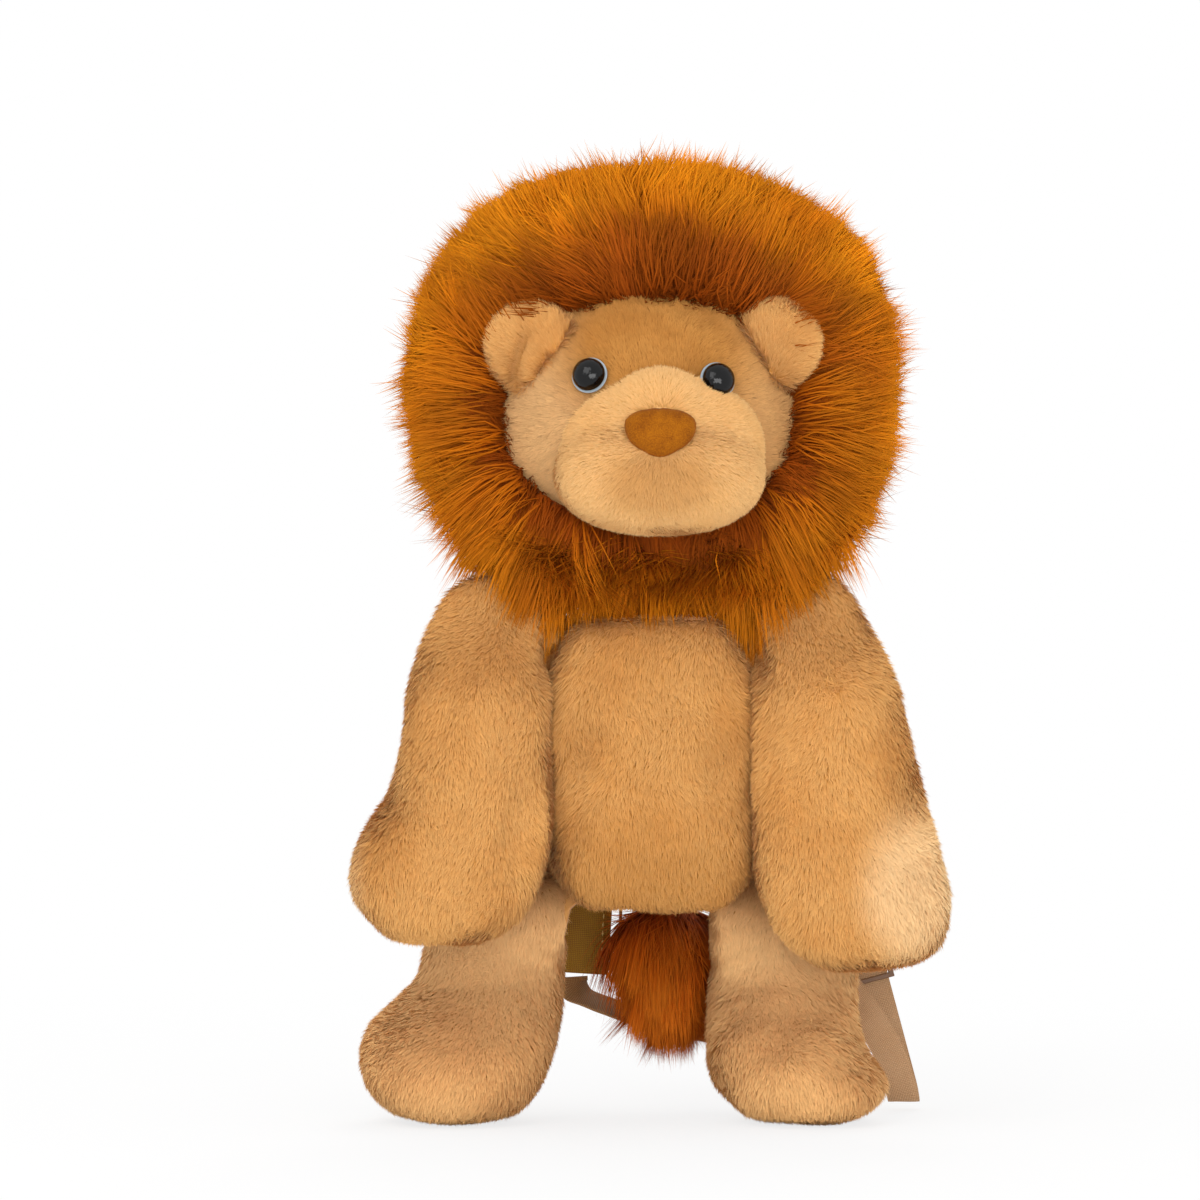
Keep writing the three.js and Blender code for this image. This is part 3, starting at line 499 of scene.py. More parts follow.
def growPile(name, skin, finish, body, base, **changes):
    pile = {**base, **changes}
    rng = np.random.default_rng(pile["seed"])
    count = pile["count"] // 1
    roots, outward = scattered(skin, pile["where"], count, rng)
    at = roots / mm

    # combed along the skin, with swirls and strays
    length = pile["length"] * mm * (1 + pile["spread"] * rng.uniform(-1, 1, (count, 1)))
    length = length * ruled(pile["lengthAt"], at)
    flow = unit(pile["comb"](at, outward))
    flow = flow + drift(roots, pile["swirlSize"] * mm, pile["seed"]) * pile["swirl"]
    flow = flow + rng.normal(size=(count, 3)) * pile["stray"]
    flow = unit(squareTo(flow, outward))
    curl = rng.normal(size=(count, 3)) * pile["curl"] * length

    # each fibre rises, leans over and falls
    lift, droop, segments = ruled(pile["lift"], at), pile["droop"], len(pile["taper"])
    fall = ruled(pile["fall"], at) * np.array([0, 0, -1.0])
    steps = [k / segments for k in range(segments + 1)]
    lines = []
    for t in steps:
        up = outward * lift * (t - 0.5 * droop * t * t)
        sideways = flow * ((1 - lift) * t + 0.5 * droop * t * t)
        lines.append(roots + length * (up + sideways + fall * t * t) + curl * t * t)

    # fibres lean to the nearest of a few leaders, more so at their tips, and share its tone
    tone = rng.random(count)
    leaders = rng.choice(count, max(1, count // pile["clumpOf"]), replace=False)
    nearest = leaders[nearestOf(roots, roots[leaders])]
    tone = tone * (1 - pile["tuftTone"]) + tone[nearest] * pile["tuftTone"]
    hold = pile["clump"] * rng.uniform(0.5, 1, (count, 1))
    for t, line in zip(steps, lines):
        line += (line[nearest] - line) * hold * t ** 1.4

    # the blade's two edges, and normals that round it off
    half = pile["width"] * mm / 2 * rng.uniform(0.8, 1.2, (count, 1))
    turn = rng.uniform(-0.8, 0.8, (count, 1))
    points, shading = [], []
    for k, line in enumerate(lines):
        ahead = unit(lines[min(k + 1, segments)] - lines[max(k - 1, 0)])
        side = unit(np.cross(ahead, outward + 1e-4))
        side = side * np.cos(turn) + np.cross(ahead, side) * np.sin(turn)
        crown = unit(unit(squareTo(outward, ahead)) + outward * 0.4)
        if k == segments:
            points.append(line)
            shading.append(crown)
        else:
            wide = half * pile["taper"][k]
            points += [line - side * wide, line + side * wide]
            shading += [unit(crown - side * 0.45), unit(crown + side * 0.45)]
    shade = np.broadcast_to(ruled(pile["shade"], at), (count, 1))
    piece = bladeMesh(name, np.stack(points, axis=1), np.stack(shading, axis=1), tone, shade)
    print("  pile", name, count)
    dress(piece, finish, body)


def bladeMesh(name, points, shading, tone, shade):
    # quads up each blade and a triangle at its tip
    count, each = points.shape[:2]
    segments = each // 2
    quads = [2 * k + corner for k in range(segments - 1) for corner in (0, 1, 3, 2)]
    order = np.array(quads + [each - 3, each - 2, each - 1])
    starts = np.arange(segments) * 4
    mesh = bpy.data.meshes.new(name)
    mesh.vertices.add(count * each)
    mesh.vertices.foreach_set("co", points.astype(np.float32).ravel())
    mesh.loops.add(count * len(order))
    loops = (np.arange(count)[:, None] * each + order).ravel()
    mesh.loops.foreach_set("vertex_index", loops.astype(np.int32))
    mesh.polygons.add(count * segments)
    first = (np.arange(count)[:, None] * len(order) + starts).ravel()
    mesh.polygons.foreach_set("loop_start", first.astype(np.int32))
    mesh.update(calc_edges=True)

    # each blade has its own cell of the OFBake map
    along = np.array([k // 2 / segments for k in range(each)])
    columns = int(math.ceil(math.sqrt(count * (1 + segments))))
    rows = int(math.ceil(count / columns))
    cell = np.stack([np.arange(count) % columns, np.arange(count) // columns], axis=1)
    sideShare = np.array([0.15, 0.85] * segments + [0.5])
    inCell = np.stack([sideShare, 0.08 + 0.84 * along], axis=1)
    uv = (cell[:, None, :] + inCell) / [columns, rows]
    layer = mesh.uv_layers.new(name="OFBake")
    layer.uv.foreach_set("vector", uv[:, order].astype(np.float32).ravel())
    values = {"along": np.tile(along, count), "tone": np.repeat(tone, each),
              "shade": np.repeat(shade, each)}
    for label, value in values.items():
        attribute = mesh.attributes.new(label, "FLOAT", "POINT")
        attribute.data.foreach_set("value", value.astype(np.float32))
    mesh.normals_split_custom_set_from_vertices(shading.reshape(-1, 3).astype(np.float32))
    return linked(name, mesh)


# the bag's two forms are size, centre and power; lumps are depth, size and seed; hip is y and z
# where the thighs press in
bag = {
    "belly": ((91, 64, 143), (0, -77.1, -104.5), 6), "back": ((124, 62, 132), (0, -37.1, -99), 4),
    "backFace": -10.1, "seam": -17.1, "seamGap": 0.15, "bellyHalf": 45.5, "bellyFrom": -70,
    "hip": (-39.1, -177), "hipX": 28, "hipRadius": 22.5, "skinDepth": 1.6, "wall": 3,
    "liningDepth": 6.6, "liningWall": 0.8, "slotX": 16, "slotLow": -140, "slotHigh": -62,
    "yokeX": 47, "yokeHigh": -45, "lumps": (1.1, 34, 11), "liningLumps": (0.8, 22, 17),
    "frontPile": {"count": 105000, "seed": 21},
    "backPile": {"count": 56000, "seed": 22, "length": 5.5, "lift": 0.35},
}
stuffing = {"cap": 3.5, "voxel": 5, "pressure": 4, "stiffness": 12, "frames": 20}


def pressOut(piece):
    # the stuffing presses the cloth out; no point moves further than the cap
    before = placesOf(piece)
    cloth = piece.modifiers.new("Cloth", "CLOTH")
    cloth.settings.use_pressure = True
    cloth.settings.uniform_pressure_force = stuffing["pressure"]
    cloth.settings.effector_weights.gravity = 0
    cloth.settings.quality = 5
    cloth.settings.tension_stiffness = stuffing["stiffness"]
    cloth.settings.compression_stiffness = stuffing["stiffness"]
    cloth.point_cache.frame_start, cloth.point_cache.frame_end = 1, stuffing["frames"]
    for number in range(1, stuffing["frames"] + 1):
        scene.frame_set(number)
    bakeModifiers(piece)
    scene.frame_set(1)
    move = placesOf(piece) - before
    length = np.linalg.norm(move, axis=1, keepdims=True)
    move *= np.minimum(1, stuffing["cap"] * mm / np.maximum(length, 1e-9))
    setPlaces(piece, before + move)


def bagForm(name, inset):
    form = joined(name, pillow("belly", *bag["belly"], inset), pillow("back", *bag["back"], inset))
    return remeshed(form, 4, 4)


def keepToBag(inset):
    # the back lies flat against the wearer, and the thighs press their hollows into the bag
    radius, edge, limit = bag["hipRadius"] + inset, bag["hipX"] - inset, bag["bellyHalf"] - inset

    def press(p, normals):
        p[:, 1] = np.minimum(p[:, 1], bag["backFace"] - inset)
        beside = p[:, 1] < bag["bellyFrom"]
        p[beside, 0] = np.clip(p[beside, 0], -limit, limit)
        away = p[:, 1:] - bag["hip"]
        reach = np.linalg.norm(away, axis=1)
        past = np.abs(p[:, 0]) - edge
        inside = (past > 0) & (reach < radius)
        shallow = inside & (past < radius - reach)
        p[shallow, 0] = np.sign(p[shallow, 0]) * edge
        deep = inside & ~shallow
        p[deep, 1:] = bag["hip"] + away[deep] * (radius / np.maximum(reach[deep], 1e-6))[:, None]
        return p
    return press


def halfOf(form, name, y, front):
    shape = shapeOf(form)
    bmesh.ops.bisect_plane(shape, geom=allOf(shape), plane_co=(0, y * mm, 0), plane_no=(0, 1, 0),
                           clear_outer=front, clear_inner=not front)
    return newPiece(name, shape)


def openSlot(piece, grow):
    # cuts the zip's opening, a little wider than its tapes
    shape = shapeOf(piece)
    x = (bag["slotX"] + grow) * mm
    low, high = (bag["slotLow"] - grow) * mm, (bag["slotHigh"] + grow) * mm
    for place in ((x, 0, 0), (-x, 0, 0), (0, 0, low), (0, 0, high)):
        across = (1, 0, 0) if place[0] else (0, 0, 1)
        bmesh.ops.bisect_plane(shape, geom=allOf(shape), plane_co=place, plane_no=across)
    middles = {face: face.calc_center_median() for face in shape.faces}
    gone = [face for face, middle in middles.items()
            if abs(middle.x) < x and low < middle.z < high and middle.y > -0.03]
    bmesh.ops.delete(shape, geom=gone, context="FACES")
    return putBack(piece, shape)


def makeBag():
    form = remeshed(bagForm("bag_form", bag["skinDepth"] + 2), stuffing["voxel"], 2)
    pressOut(form)
    modify(form, "SUBSURF", levels=1, render_levels=1)
    lumpy(form, *bag["lumps"])
    reshape(form, keepToBag(bag["skinDepth"]))
    front = halfOf(form, "torso_front_skin", bag["seam"] - bag["seamGap"], True)
    back = openSlot(halfOf(form, "torso_back_skin", bag["seam"] + bag["seamGap"], False), 0.2)

    def onFront(places):
        x, y, z = places.T
        hipY, hipZ = bag["hip"]
        underThigh = (np.hypot(y - hipY, z - hipZ) < bag["hipRadius"] + 5) & (
            np.abs(x) > bag["hipX"] - 2)
        underChin = (z > -40) & (y > -95)
        behindArm = (np.abs(x) > 38) & (y < -72)
        return np.where(underThigh | underChin, 0, np.where(behindArm, 0.9, 1))

    def onBack(places):
        x, _, z = places.T
        low, high = bag["slotLow"] - 1, bag["slotHigh"] + 1
        slot = (np.abs(x) < bag["slotX"] + 1.5) & (z > low) & (z < high)
        yoke = (np.abs(x) < bag["yokeX"]) & (z > high) & (z < bag["yokeHigh"])
        return np.where(slot | yoke, 0, 1)

    def longInCrease(places):
        return 1 + 0.5 * smoothstep(np.abs(places[:, 0]), 36, 43)

    def combBelly(places, outward):
        aside = np.sign(places[:, 0]) * 0.6 * smoothstep(np.abs(places[:, 0]), 32, 43)
        return downwards(aside, -0.15)

    # painted shade: a little all over the belly and most at its bottom
    def paintedShadeBelow(places):
        return 0.1 + 0.4 * smoothstep(-places[:, 2], 118, 162)

    growPile("torso_front_pile", front, "bellyPile", "bag", shortPile, **bag["frontPile"],
             where=onFront, comb=combBelly, lengthAt=longInCrease, shade=paintedShadeBelow)
    growPile("torso_back_pile", back, "bodyPile", "bag", shortPile, **bag["backPile"],
             where=onBack)
    for node, skin in (("torso_front", front), ("torso_back", back)):
        dress(thicken(skin, bag["wall"]), "bodyBacking", "bag", node, fill=0.5)
    bpy.data.objects.remove(form)


makeBag()
print("bag body made")

# the palm is x and z from the middle; the roots are x and z to where each thigh is bare
limbs = {
    "voxel": 3, "smoothing": 6, "skinDepth": 1.6, "lumpDepth": 0.8, "lumpSize": 30,
    "armFibres": 95000, "legFibres": 88000, "palm": (118, -160), "palmSize": 24,
    "legRoots": {"left": (41, -208), "right": (27, -176)}, "sole": -272,
}


def softCopy(name, node, voxel, smoothing, depth, lumpSeed=None):
    # a node's own form, softened and drawn in to leave room for its pile
    piece = remeshed(mergedCopy(name, node), voxel, smoothing)
    if lumpSeed:
        lumpy(piece, limbs["lumpDepth"], limbs["lumpSize"], lumpSeed)
    return sunk(piece, depth)


def makeLimb(node, finish, count, seed, form, **rules):
    skin = softCopy(node + "_skin", node, limbs["voxel"], limbs["smoothing"], limbs["skinDepth"],
                    seed)
    if form:
        reshape(skin, form)
    growPile(node + "_pile", skin, finish, node, shortPile, count=count, seed=seed, **rules)
    dress(skin, "bodyBacking", node, node, fill=0.8)


def combDown(side):
    def comb(places, outward):
        inward = 0.7 * (1 - smoothstep(np.abs(places[:, 0]), 47, 58)) * (places[:, 2] > -180)
        return downwards(np.sign(side) * (0.1 - inward) + 0.2 * side, -0.2)
    return comb


def makeLimbs(name, side):
    def onArm(places):
        x, y, _ = places.T
        inner = (side * x < 49) & (y > -118)
        return np.where(side * x < 42, 0, np.where(inner, 0.8, 1))

    def onLeg(places):
        x, _, z = places.T
        rootX, rootZ = limbs["legRoots"][name]
        root = (side * x < rootX) & (z > rootZ)
        return np.where(root | (z < limbs["sole"]), 0, 1)

    def palmAndPaintedRimLight(places):
        # the worn palm of one paw, and painted light along the outer edges
        x, _, z = places.T
        palmX, palmZ = limbs["palm"]
        away = np.hypot(side * x - palmX, (z - palmZ) * 0.7) / limbs["palmSize"]
        palm = (1 - smoothstep(away, 0.5, 1.35)) * (side > 0)
        return 0.7 * palm + 0.4 * smoothstep(side * x, 126, 138)

    def paintedLightOnLeg(places):
        # painted light: paler towards the top of each leg, where the arms and belly shade it
        return 0.24 + 0.16 * smoothstep(places[:, 2], -255, -190)

    def pressed(p, normals):
        # the sewn root of the thigh is pressed flat under the bag
        beyond = smoothstep(side * p[:, 0], 36, 46)
        lowest = -170 - 40 * beyond
        root = (side * p[:, 0] < 46) & (p[:, 2] < lowest) & (p[:, 2] > -206)
        p[root, 2] = lowest[root] + 0.1 * (p[root, 2] - lowest[root])
        return p

    def sloped(p, normals):
        # the shoulder goes back under the mane
        high = smoothstep(p[:, 2], -78, -20)
        inner = smoothstep(60 - side * p[:, 0], 0, 13) * smoothstep(p[:, 2], -76, -52)
        high = np.maximum(0.7 * high, 0.9 * inner)
        p[:, 1] = np.where(p[:, 1] < -80, -80 + (p[:, 1] + 80) * (1 - high), p[:, 1])
        return p

    makeLimb("arm_" + name, "bodyPile", limbs["armFibres"], 31 + side, sloped,
             comb=combDown(side * 0.4), where=onArm, shade=palmAndPaintedRimLight)
    makeLimb("leg_" + name, "legPile", limbs["legFibres"], 35 + side, pressed if side < 0 else None,
             comb=combDown(side * 0.6), where=onLeg, shade=paintedLightOnLeg)


tail = {
    "short": {"count": 6000, "seed": 41, "length": 5}, "longFrom": -166,
    "long": {"count": 9000, "seed": 42, "length": 24, "lift": 0.42, "droop": 1.2, "fall": 0.7,
             "clump": 0.7, "clumpOf": 60, "swirl": 0.25},
}


def makeTail():
    skin = softCopy("tail_skin", "tail", 2, 4, 1.2)
    growPile("tail_pile", skin, "bodyPile", "tail", shortPile, **tail["short"])
    growPile("tail_long_pile", skin, "tuftPile", "tail", longPile, **tail["long"],
             where=lambda places: np.where(places[:, 2] < tail["longFrom"], 1, 0),
             comb=lambda places, outward: outward * [0.35, 0.2, 0] - [0, 0, 1])
    dress(skin, "bodyBacking", "tail", "tail", fill=0.8)


makeLimbs("left", -1)
makeLimbs("right", 1)
makeTail()
print("limbs made")

# size, centre and power of each ball; the eyes are x and z from the head's centre
head = {
    "ball": ((131, 110, 110), (-1.5, -69.1, 53), 2.3), "skinDepth": 2,
    "neckCentre": (0, -57.1, -23), "neckRadius": 24,
    "eyes": {"left": (-27.2, 17.6), "right": (30.8, 15.4)}, "eyePress": 2.6,
    "pile": {"count": 52000, "seed": 51, "length": 4.8, "width": 0.62},
}
muzzle = {
    "low": ((96, 72, 56), (3, -115.1, 26), 2.2), "bridge": ((48, 50, 48), (3, -118.1, 51), 2),
    "cheeks": ((94, 58, 75), (4, -110, 37.5), 2), "skinDepth": 1.6,
    "pile": {"count": 56000, "seed": 52, "length": 4.8, "width": 0.6, "lift": 0.45,
             "stray": 0.18, "swirl": 0.3, "clump": 0.16},
}
ear = {"count": 19000, "length": 6.8, "width": 0.62, "lift": 0.5}
eye = {"radius": 7.6, "bulge": 5.8, "ring": 8.3, "seat": 1.1, "ringLow": 0.3, "ringHigh": 1.2}


def onHead(x, z):
    # place and outward direction on the head's front
    size, centre, power = head["ball"]
    half = [s / 2 for s in size]
    y = -half[1] * (1 - abs(x / half[0]) ** power - abs(z / half[2]) ** power) ** (1 / power)
    slope = [math.copysign(abs(v) ** (power - 1), v) / h ** power for v, h in zip((x, y, z), half)]
    return Vector((x, y, z)) + Vector(centre), Vector(slope).normalized()


eyePlaces = {name: onHead(*at) for name, at in head["eyes"].items()}


def fromEyes(places):
    # how far each place is from the nearest eye
    return np.minimum(*(np.linalg.norm(places - np.array(place), axis=1)
                        for place, _ in eyePlaces.values()))


def neckRoom(gap):
    return pillow("neck_room", [2 * (head["neckRadius"] + gap)] * 3, head["neckCentre"], 2, 0, 4)


def makeHead():
    neck = remeshed(mergedCopy("neck_skin", "neck"), 2.5, 4)
    dress(neck, "bodyBacking", "neck", "neck", fill=0.7)
    skin = pillow("head_skin", *head["ball"], head["skinDepth"], 6)

    def press(p, normals):
        # the eyes are drawn into the stuffing
        for place, outward in eyePlaces.values():
            away = np.linalg.norm(p - np.array(place), axis=1)
            p -= np.array(outward) * (head["eyePress"] * (1 - smoothstep(away, 6, 17)))[:, None]
        return p

    reshape(skin, press)
    cutAway(skin, neckRoom(0.8))

    def onFace(places):
        x, y, z = places.T
        hidden = (y > -79 - 15 * smoothstep(-z, -48, -8)) | (z < -2)
        hidden |= ((x - 3) / 44) ** 2 + ((z - 26) / 24) ** 2 < 1  # under the muzzle
        hidden |= ((x - 3) / 20) ** 2 + ((z - 51) / 20) ** 2 < 1  # and its bridge
        return np.where(hidden, 0, 1) * smoothstep(fromEyes(places), 7.6, 8.6)

    def fromNose(places, outward):
        away = places - [3, -150, 52]
        away[:, 2] += 0.25 * np.abs(away[:, 0])
        return away

    def paleBrow(places):
        x, _, z = places.T
        away = np.hypot((x - 1) / 50, (z - 86) / 42)
        return 0.35 * smoothstep(away, 0.5, 1.2) * np.where(x > 0, 0.6, 1)

    growPile("head_pile", skin, "facePile", "head", shortPile, **head["pile"], where=onFace,
             comb=fromNose, shade=paleBrow,
             lift=lambda places: 0.42 + 0.4 * smoothstep(places[:, 1], -102, -88),
             lengthAt=lambda places: 1 + 0.3 * smoothstep(places[:, 1], -100, -86))
    dress(skin, "faceBacking", "head", "head", fill=0.9)


def makeMuzzle():
    form = joined("muzzle_skin", *(
        pillow(part, *muzzle[part], muzzle["skinDepth"], fineness)
        for part, fineness in (("low", 5), ("bridge", 4), ("cheeks", 4))))
    remeshed(form, 2.4, 16)
    cutAway(form, pillow("cutter", *head["ball"], head["skinDepth"] - 0.4, 5))

    def onMuzzle(places):
        x, y, z = places.T
        nose = np.hypot((x - 3) / 14.5, (z - 45) / 10) < 1
        bare = (depthIn(places, *head["ball"]) < 1.01) | (nose & (y < -130))
        return np.where(bare, 0, 1) * smoothstep(fromEyes(places), 6.8, 7.6)

    def fromNose(places, outward):
        away = places - [3, -150, 50]
        away[:, 1] *= 0.4
        return away

    def paintedShadeUnderNose(places):
        # painted shade under the nose
        x, _, z = places.T
        return 0.55 * (1 - smoothstep(np.hypot((x - 3) / 26, (z - 22) / 15), 0.5, 1.2))

    growPile("muzzle_pile", form, "muzzlePile", "head", shortPile, **muzzle["pile"],
             where=onMuzzle, shade=paintedShadeUnderNose, comb=fromNose)
    dress(form, "muzzleBacking", "head", "muzzle", fill=0.9)


def foldedEar(p, normals):
    # the ear flops forwards over the head, with a crease down its middle
    inner = smoothstep(p[:, 0], -66, -44)
    p += np.stack([3 + 4 * inner, -9 * inner, np.full(len(p), -1.5)], axis=1)
    along = np.clip((94 - p[:, 2]) / 22, 0, 1)
    crease = np.exp(-(((p[:, 0] + 52 + 8 * along) / 2.6) ** 2)) * smoothstep(94 - p[:, 2], 0, 8)
    p[:, 1] += np.where(normals[:, 1] < 0, 4 * crease, 0)
    return p


def makeEar(node, side):
    skin = softCopy(node + "_skin", node, 2, 5, 1.2)
    if side < 0:
        reshape(skin, foldedEar)
    growPile(node + "_pile", skin, "bodyPile", "head", shortPile, **ear, seed=55 + side,
             comb=lambda places, outward: places - [side * 40, -90, 66])
    dress(skin, "bodyBacking", "head", node, fill=0.6)


def spun(name, profile, place, outward):
    # a round piece turned about the outward direction of an eye
    shape = bmesh.new()
    verts = [shape.verts.new((r * mm, 0, h * mm)) for r, h in profile]
    edges = [shape.edges.new(pair) for pair in zip(verts, verts[1:])]
    bmesh.ops.spin(shape, geom=verts + edges, cent=(0, 0, 0), axis=(0, 0, 1), angle=2 * math.pi,
                   steps=40, use_merge=True, use_duplicate=False)
    bmesh.ops.remove_doubles(shape, verts=shape.verts, dist=1e-7)
    bmesh.ops.recalc_face_normals(shape, faces=shape.faces)
    turn = outward.to_track_quat("Z", "Y").to_matrix().to_4x4()
    seat = Matrix.Translation((place - outward * eye["seat"]) * mm)
    bmesh.ops.transform(shape, matrix=seat @ turn, verts=shape.verts)
    return newPiece(name, shape)


def makeEyes():
    # profiles are distances from the eye's axis and along it
    base = 2 * eye["ringLow"] + 0.9
    dome = [(eye["radius"] * math.cos(a), base + 0.6 + eye["bulge"] * math.sin(a))
            for a in np.linspace(0, math.pi / 2, 14)]
    dome[-1] = (0, dome[-1][1])
    stalk = [(0, -9), (1.5, -9), (1.5, base), (eye["radius"] - 0.5, base)]
    low, high, rim = eye["ringLow"], eye["ringHigh"], eye["ring"]
    ring = [(1.9, low), (rim - 0.2, low), (rim, low + 0.25), (rim, high - 0.35), (rim - 0.3, high),
            (1.9, high)]
    for name, (place, outward) in eyePlaces.items():
        ball = spun("eye_" + name + "_dome", stalk + dome, place, outward)
        dress(ball, "eyeGloss", "head", "eye_" + name)
        rimPiece = spun("eye_" + name + "_rim", ring + ring[:1], place, outward)
        dress(rimPiece, "eyeRim", "head", "eye_ring_" + name)
        washer = nodes["eye_washer_" + name].data.materials
        washer.clear()
        washer.append(finishes["washer"][1])


nose = {
    "centre": (2.8, -144.8, 45.4), "lean": 21, "thick": 7.5,
    # outline by direction: degrees from +X, millimetres from the centre
    "outline": [(-180, 15.8), (-155, 14.6), (-130, 13), (-110, 13.2), (-90, 13.8), (-70, 13.2),
                (-50, 13), (-25, 14.8), (0, 16.4), (15, 16.6), (30, 14.4), (55, 10.6), (90, 9.2),
                (125, 10.6), (150, 14.2), (165, 16.2), (180, 15.8)],
}


def makeNose():
    shape = bmesh.new()
    bmesh.ops.create_uvsphere(shape, u_segments=48, v_segments=24, radius=1)
    bmesh.ops.rotate(shape, verts=shape.verts, cent=(0, 0, 0),
                     matrix=Matrix.Rotation(math.pi / 2, 3, "X"))
    angles, reaches = zip(*nose["outline"])
    for v in shape.verts:
        flat = math.hypot(v.co.x, v.co.z)
        reach = float(np.interp(math.degrees(math.atan2(v.co.z, v.co.x)), angles, reaches))
        spread = reach * flat ** 0.75 / max(flat, 1e-9)
        thick = nose["thick"] * (1 if v.co.y < 0 else 0.6)
        v.co = (v.co.x * spread, v.co.y * thick, v.co.z * spread)
    bmesh.ops.smooth_vert(shape, verts=shape.verts, factor=0.5,
                          use_axis_x=True, use_axis_y=True, use_axis_z=True)
    lean = Matrix.Rotation(math.radians(-nose["lean"]), 4, "X")
    bmesh.ops.transform(shape, matrix=Matrix.Translation(Vector(nose["centre"])) @ lean,
                        verts=shape.verts)
    bmesh.ops.scale(shape, vec=(mm, mm, mm), verts=shape.verts)
    bmesh.ops.recalc_face_normals(shape, faces=shape.faces)
    dress(newPiece("nose_skin", shape), "noseSuede", "head", "nose", fill=0.9)


makeHead()
makeMuzzle()
makeEar("ear_left", -1)
makeEar("ear_right", 1)
makeEyes()
makeNose()
print("head made")

mane = {
    "ball": ((201, 77, 177), (0.5, -49.5, 70.5), 2.4), "face": (0, 44),
    # the hair that faces the viewer, the fringe beside the face, the outline and the back
    "front": {"count": 39500, "seed": 61, "swirl": 0.36, "width": 0.88, "clump": 0.66,
              "clumpOf": 60, "tuftTone": 0.7},
    "inner": {"count": 17000, "seed": 64, "length": 17},
    "rim": {"count": 39500, "seed": 62, "lift": 0.6, "length": 27, "width": 0.74, "fall": 0.08,
            "clump": 0.42, "spread": 0.08, "stray": 0.14, "curl": 0.07},
    "back": {"count": 36000, "seed": 63, "length": 28},
}


def makeManeCore():
    core = pillow("mane_skin", *mane["ball"], 0, 5)

    def lowForwards(p, normals):
        # under the chin the mane swells forwards over the tops of the arms
        p[:, 1] -= 23 * smoothstep(52 - p[:, 2], 0, 58) * smoothstep(-p[:, 1], 38, 68)
        return p

    reshape(core, lowForwards)
    cutAway(core, pillow("inside", *head["ball"], -0.4, 5))
    for node in ("ear_left", "ear_right"):
        cutAway(core, sunk(mergedCopy("ear_room", node), -0.8))
    cutAway(core, neckRoom(0.9))
    return core


def makeMane():
    core = makeManeCore()

    def inHead(places, grow):
        return depthIn(places, *head["ball"], grow) < 1

    def inMuzzle(places, grow):
        return depthIn(places, *muzzle["low"], grow) < 1

    def fromFace(places, outward):
        # away from the face all round, and forwards and down over the chest
        away = places - [mane["face"][0], 0, mane["face"][1]]
        under = smoothstep(-places[:, 2], -10, 8)
        aside = smoothstep(np.abs(places[:, 0]), 30, 66) * smoothstep(-places[:, 2], -30, 5)
        forwards = -6 - 14 * smoothstep(-places[:, 2], -40, 0) - 34 * under
        forwards = forwards * (1 - aside) + 10 * aside
        away[:, 1] = np.where(places[:, 1] < -50, forwards, 6)
        low = smoothstep(-places[:, 2], -45, 0)
        away[:, 0] *= 1 - 0.35 * low
        away[:, 2] -= 18 * low
        return away

    def underChin(places):
        middle = 1 - smoothstep(np.abs(places[:, 0]), 46, 84)
        return smoothstep(-places[:, 2], -30, -2) * middle * (places[:, 1] < -50)

    def trimmed(places):
        # shorter at the outline and under the chin, but long enough over the belly's creases
        x, _, z = places.T
        overCrease = np.exp(-(((np.abs(x) - 42) / 9) ** 2))
        atOutline = smoothstep(np.hypot(x / 100, (z - 70) / 88), 0.78, 1) * (z > 15)
        return (1 - 0.3 * underChin(places) * (1 - 1.1 * overCrease)) * (1 - 0.3 * atOutline)

    def fallBelow(places):
        return 0.08 + 0.42 * underChin(places)

    def paintedShadeNearFace(places):
        # painted shade on the mane beside the face, most above it
        x, _, z = places.T
        reach = np.hypot((x - 1) / 66, (z - 53) / 56)
        return (0.4 + 0.45 * smoothstep(z, 50, 100)) * (1 - smoothstep(reach, 1.0, 1.45))

    def onFront(places):
        bare = inHead(places, 1.2) | inMuzzle(places, 2)
        dense = 1 + 0.8 * smoothstep(-places[:, 2], -30, -10)
        return np.where((places[:, 1] < -60) & ~bare, dense, 0)

    def besideFace(places):
        bare = inHead(places, 0.5) | inMuzzle(places, -1.5)
        near = inHead(places, 14) | (inMuzzle(places, 9) & (places[:, 2] < 2))
        return np.where((places[:, 1] < -70) & near & ~bare, 1, 0)

    def onRim(places):
        y = places[:, 1]
        return np.where((y >= -64) & (y < -30) & ~inHead(places, 1.2), 1, 0)

    def onBack(places):
        x, y, z = places.T
        loop = (np.abs(x) < 14) & (z < 8)
        return np.where((y >= -32) & ~loop & ~inHead(places, 1.2), 1, 0)

    rules = {
        "front": {"where": onFront, "shade": paintedShadeNearFace, "lengthAt": trimmed, "fall": fallBelow,
                  "lift": lambda places: 0.45 - 0.17 * underChin(places)},
        # the fringe beside the face is darkened with painted shade
        "inner": {"where": besideFace, "shade": 0.9, "fall": fallBelow,
                  "lift": lambda places: 0.75 - 0.4 * underChin(places)},
        "rim": {"where": onRim},
        "back": {"where": onBack, "comb": lambda places, outward: places - [0, 0, 100],
                 "lift": lambda places: 0.2 + 0.36 * smoothstep(-places[:, 1], 14, 32)},
    }
    for part, rule in rules.items():
        growPile("mane_" + part + "_pile", core, "manePile", "head", longPile,
                 **{"comb": fromFace, **mane[part], **rule})
    dress(core, "maneBacking", "head", "mane", fill=0.7)


tuft = {
    "count": 17000, "seed": 71, "length": 26, "lift": 0.14, "droop": 0.9, "fall": 0.4,
    "clumpOf": 120, "clump": 0.78, "stray": 0.12, "swirl": 0.2,
}


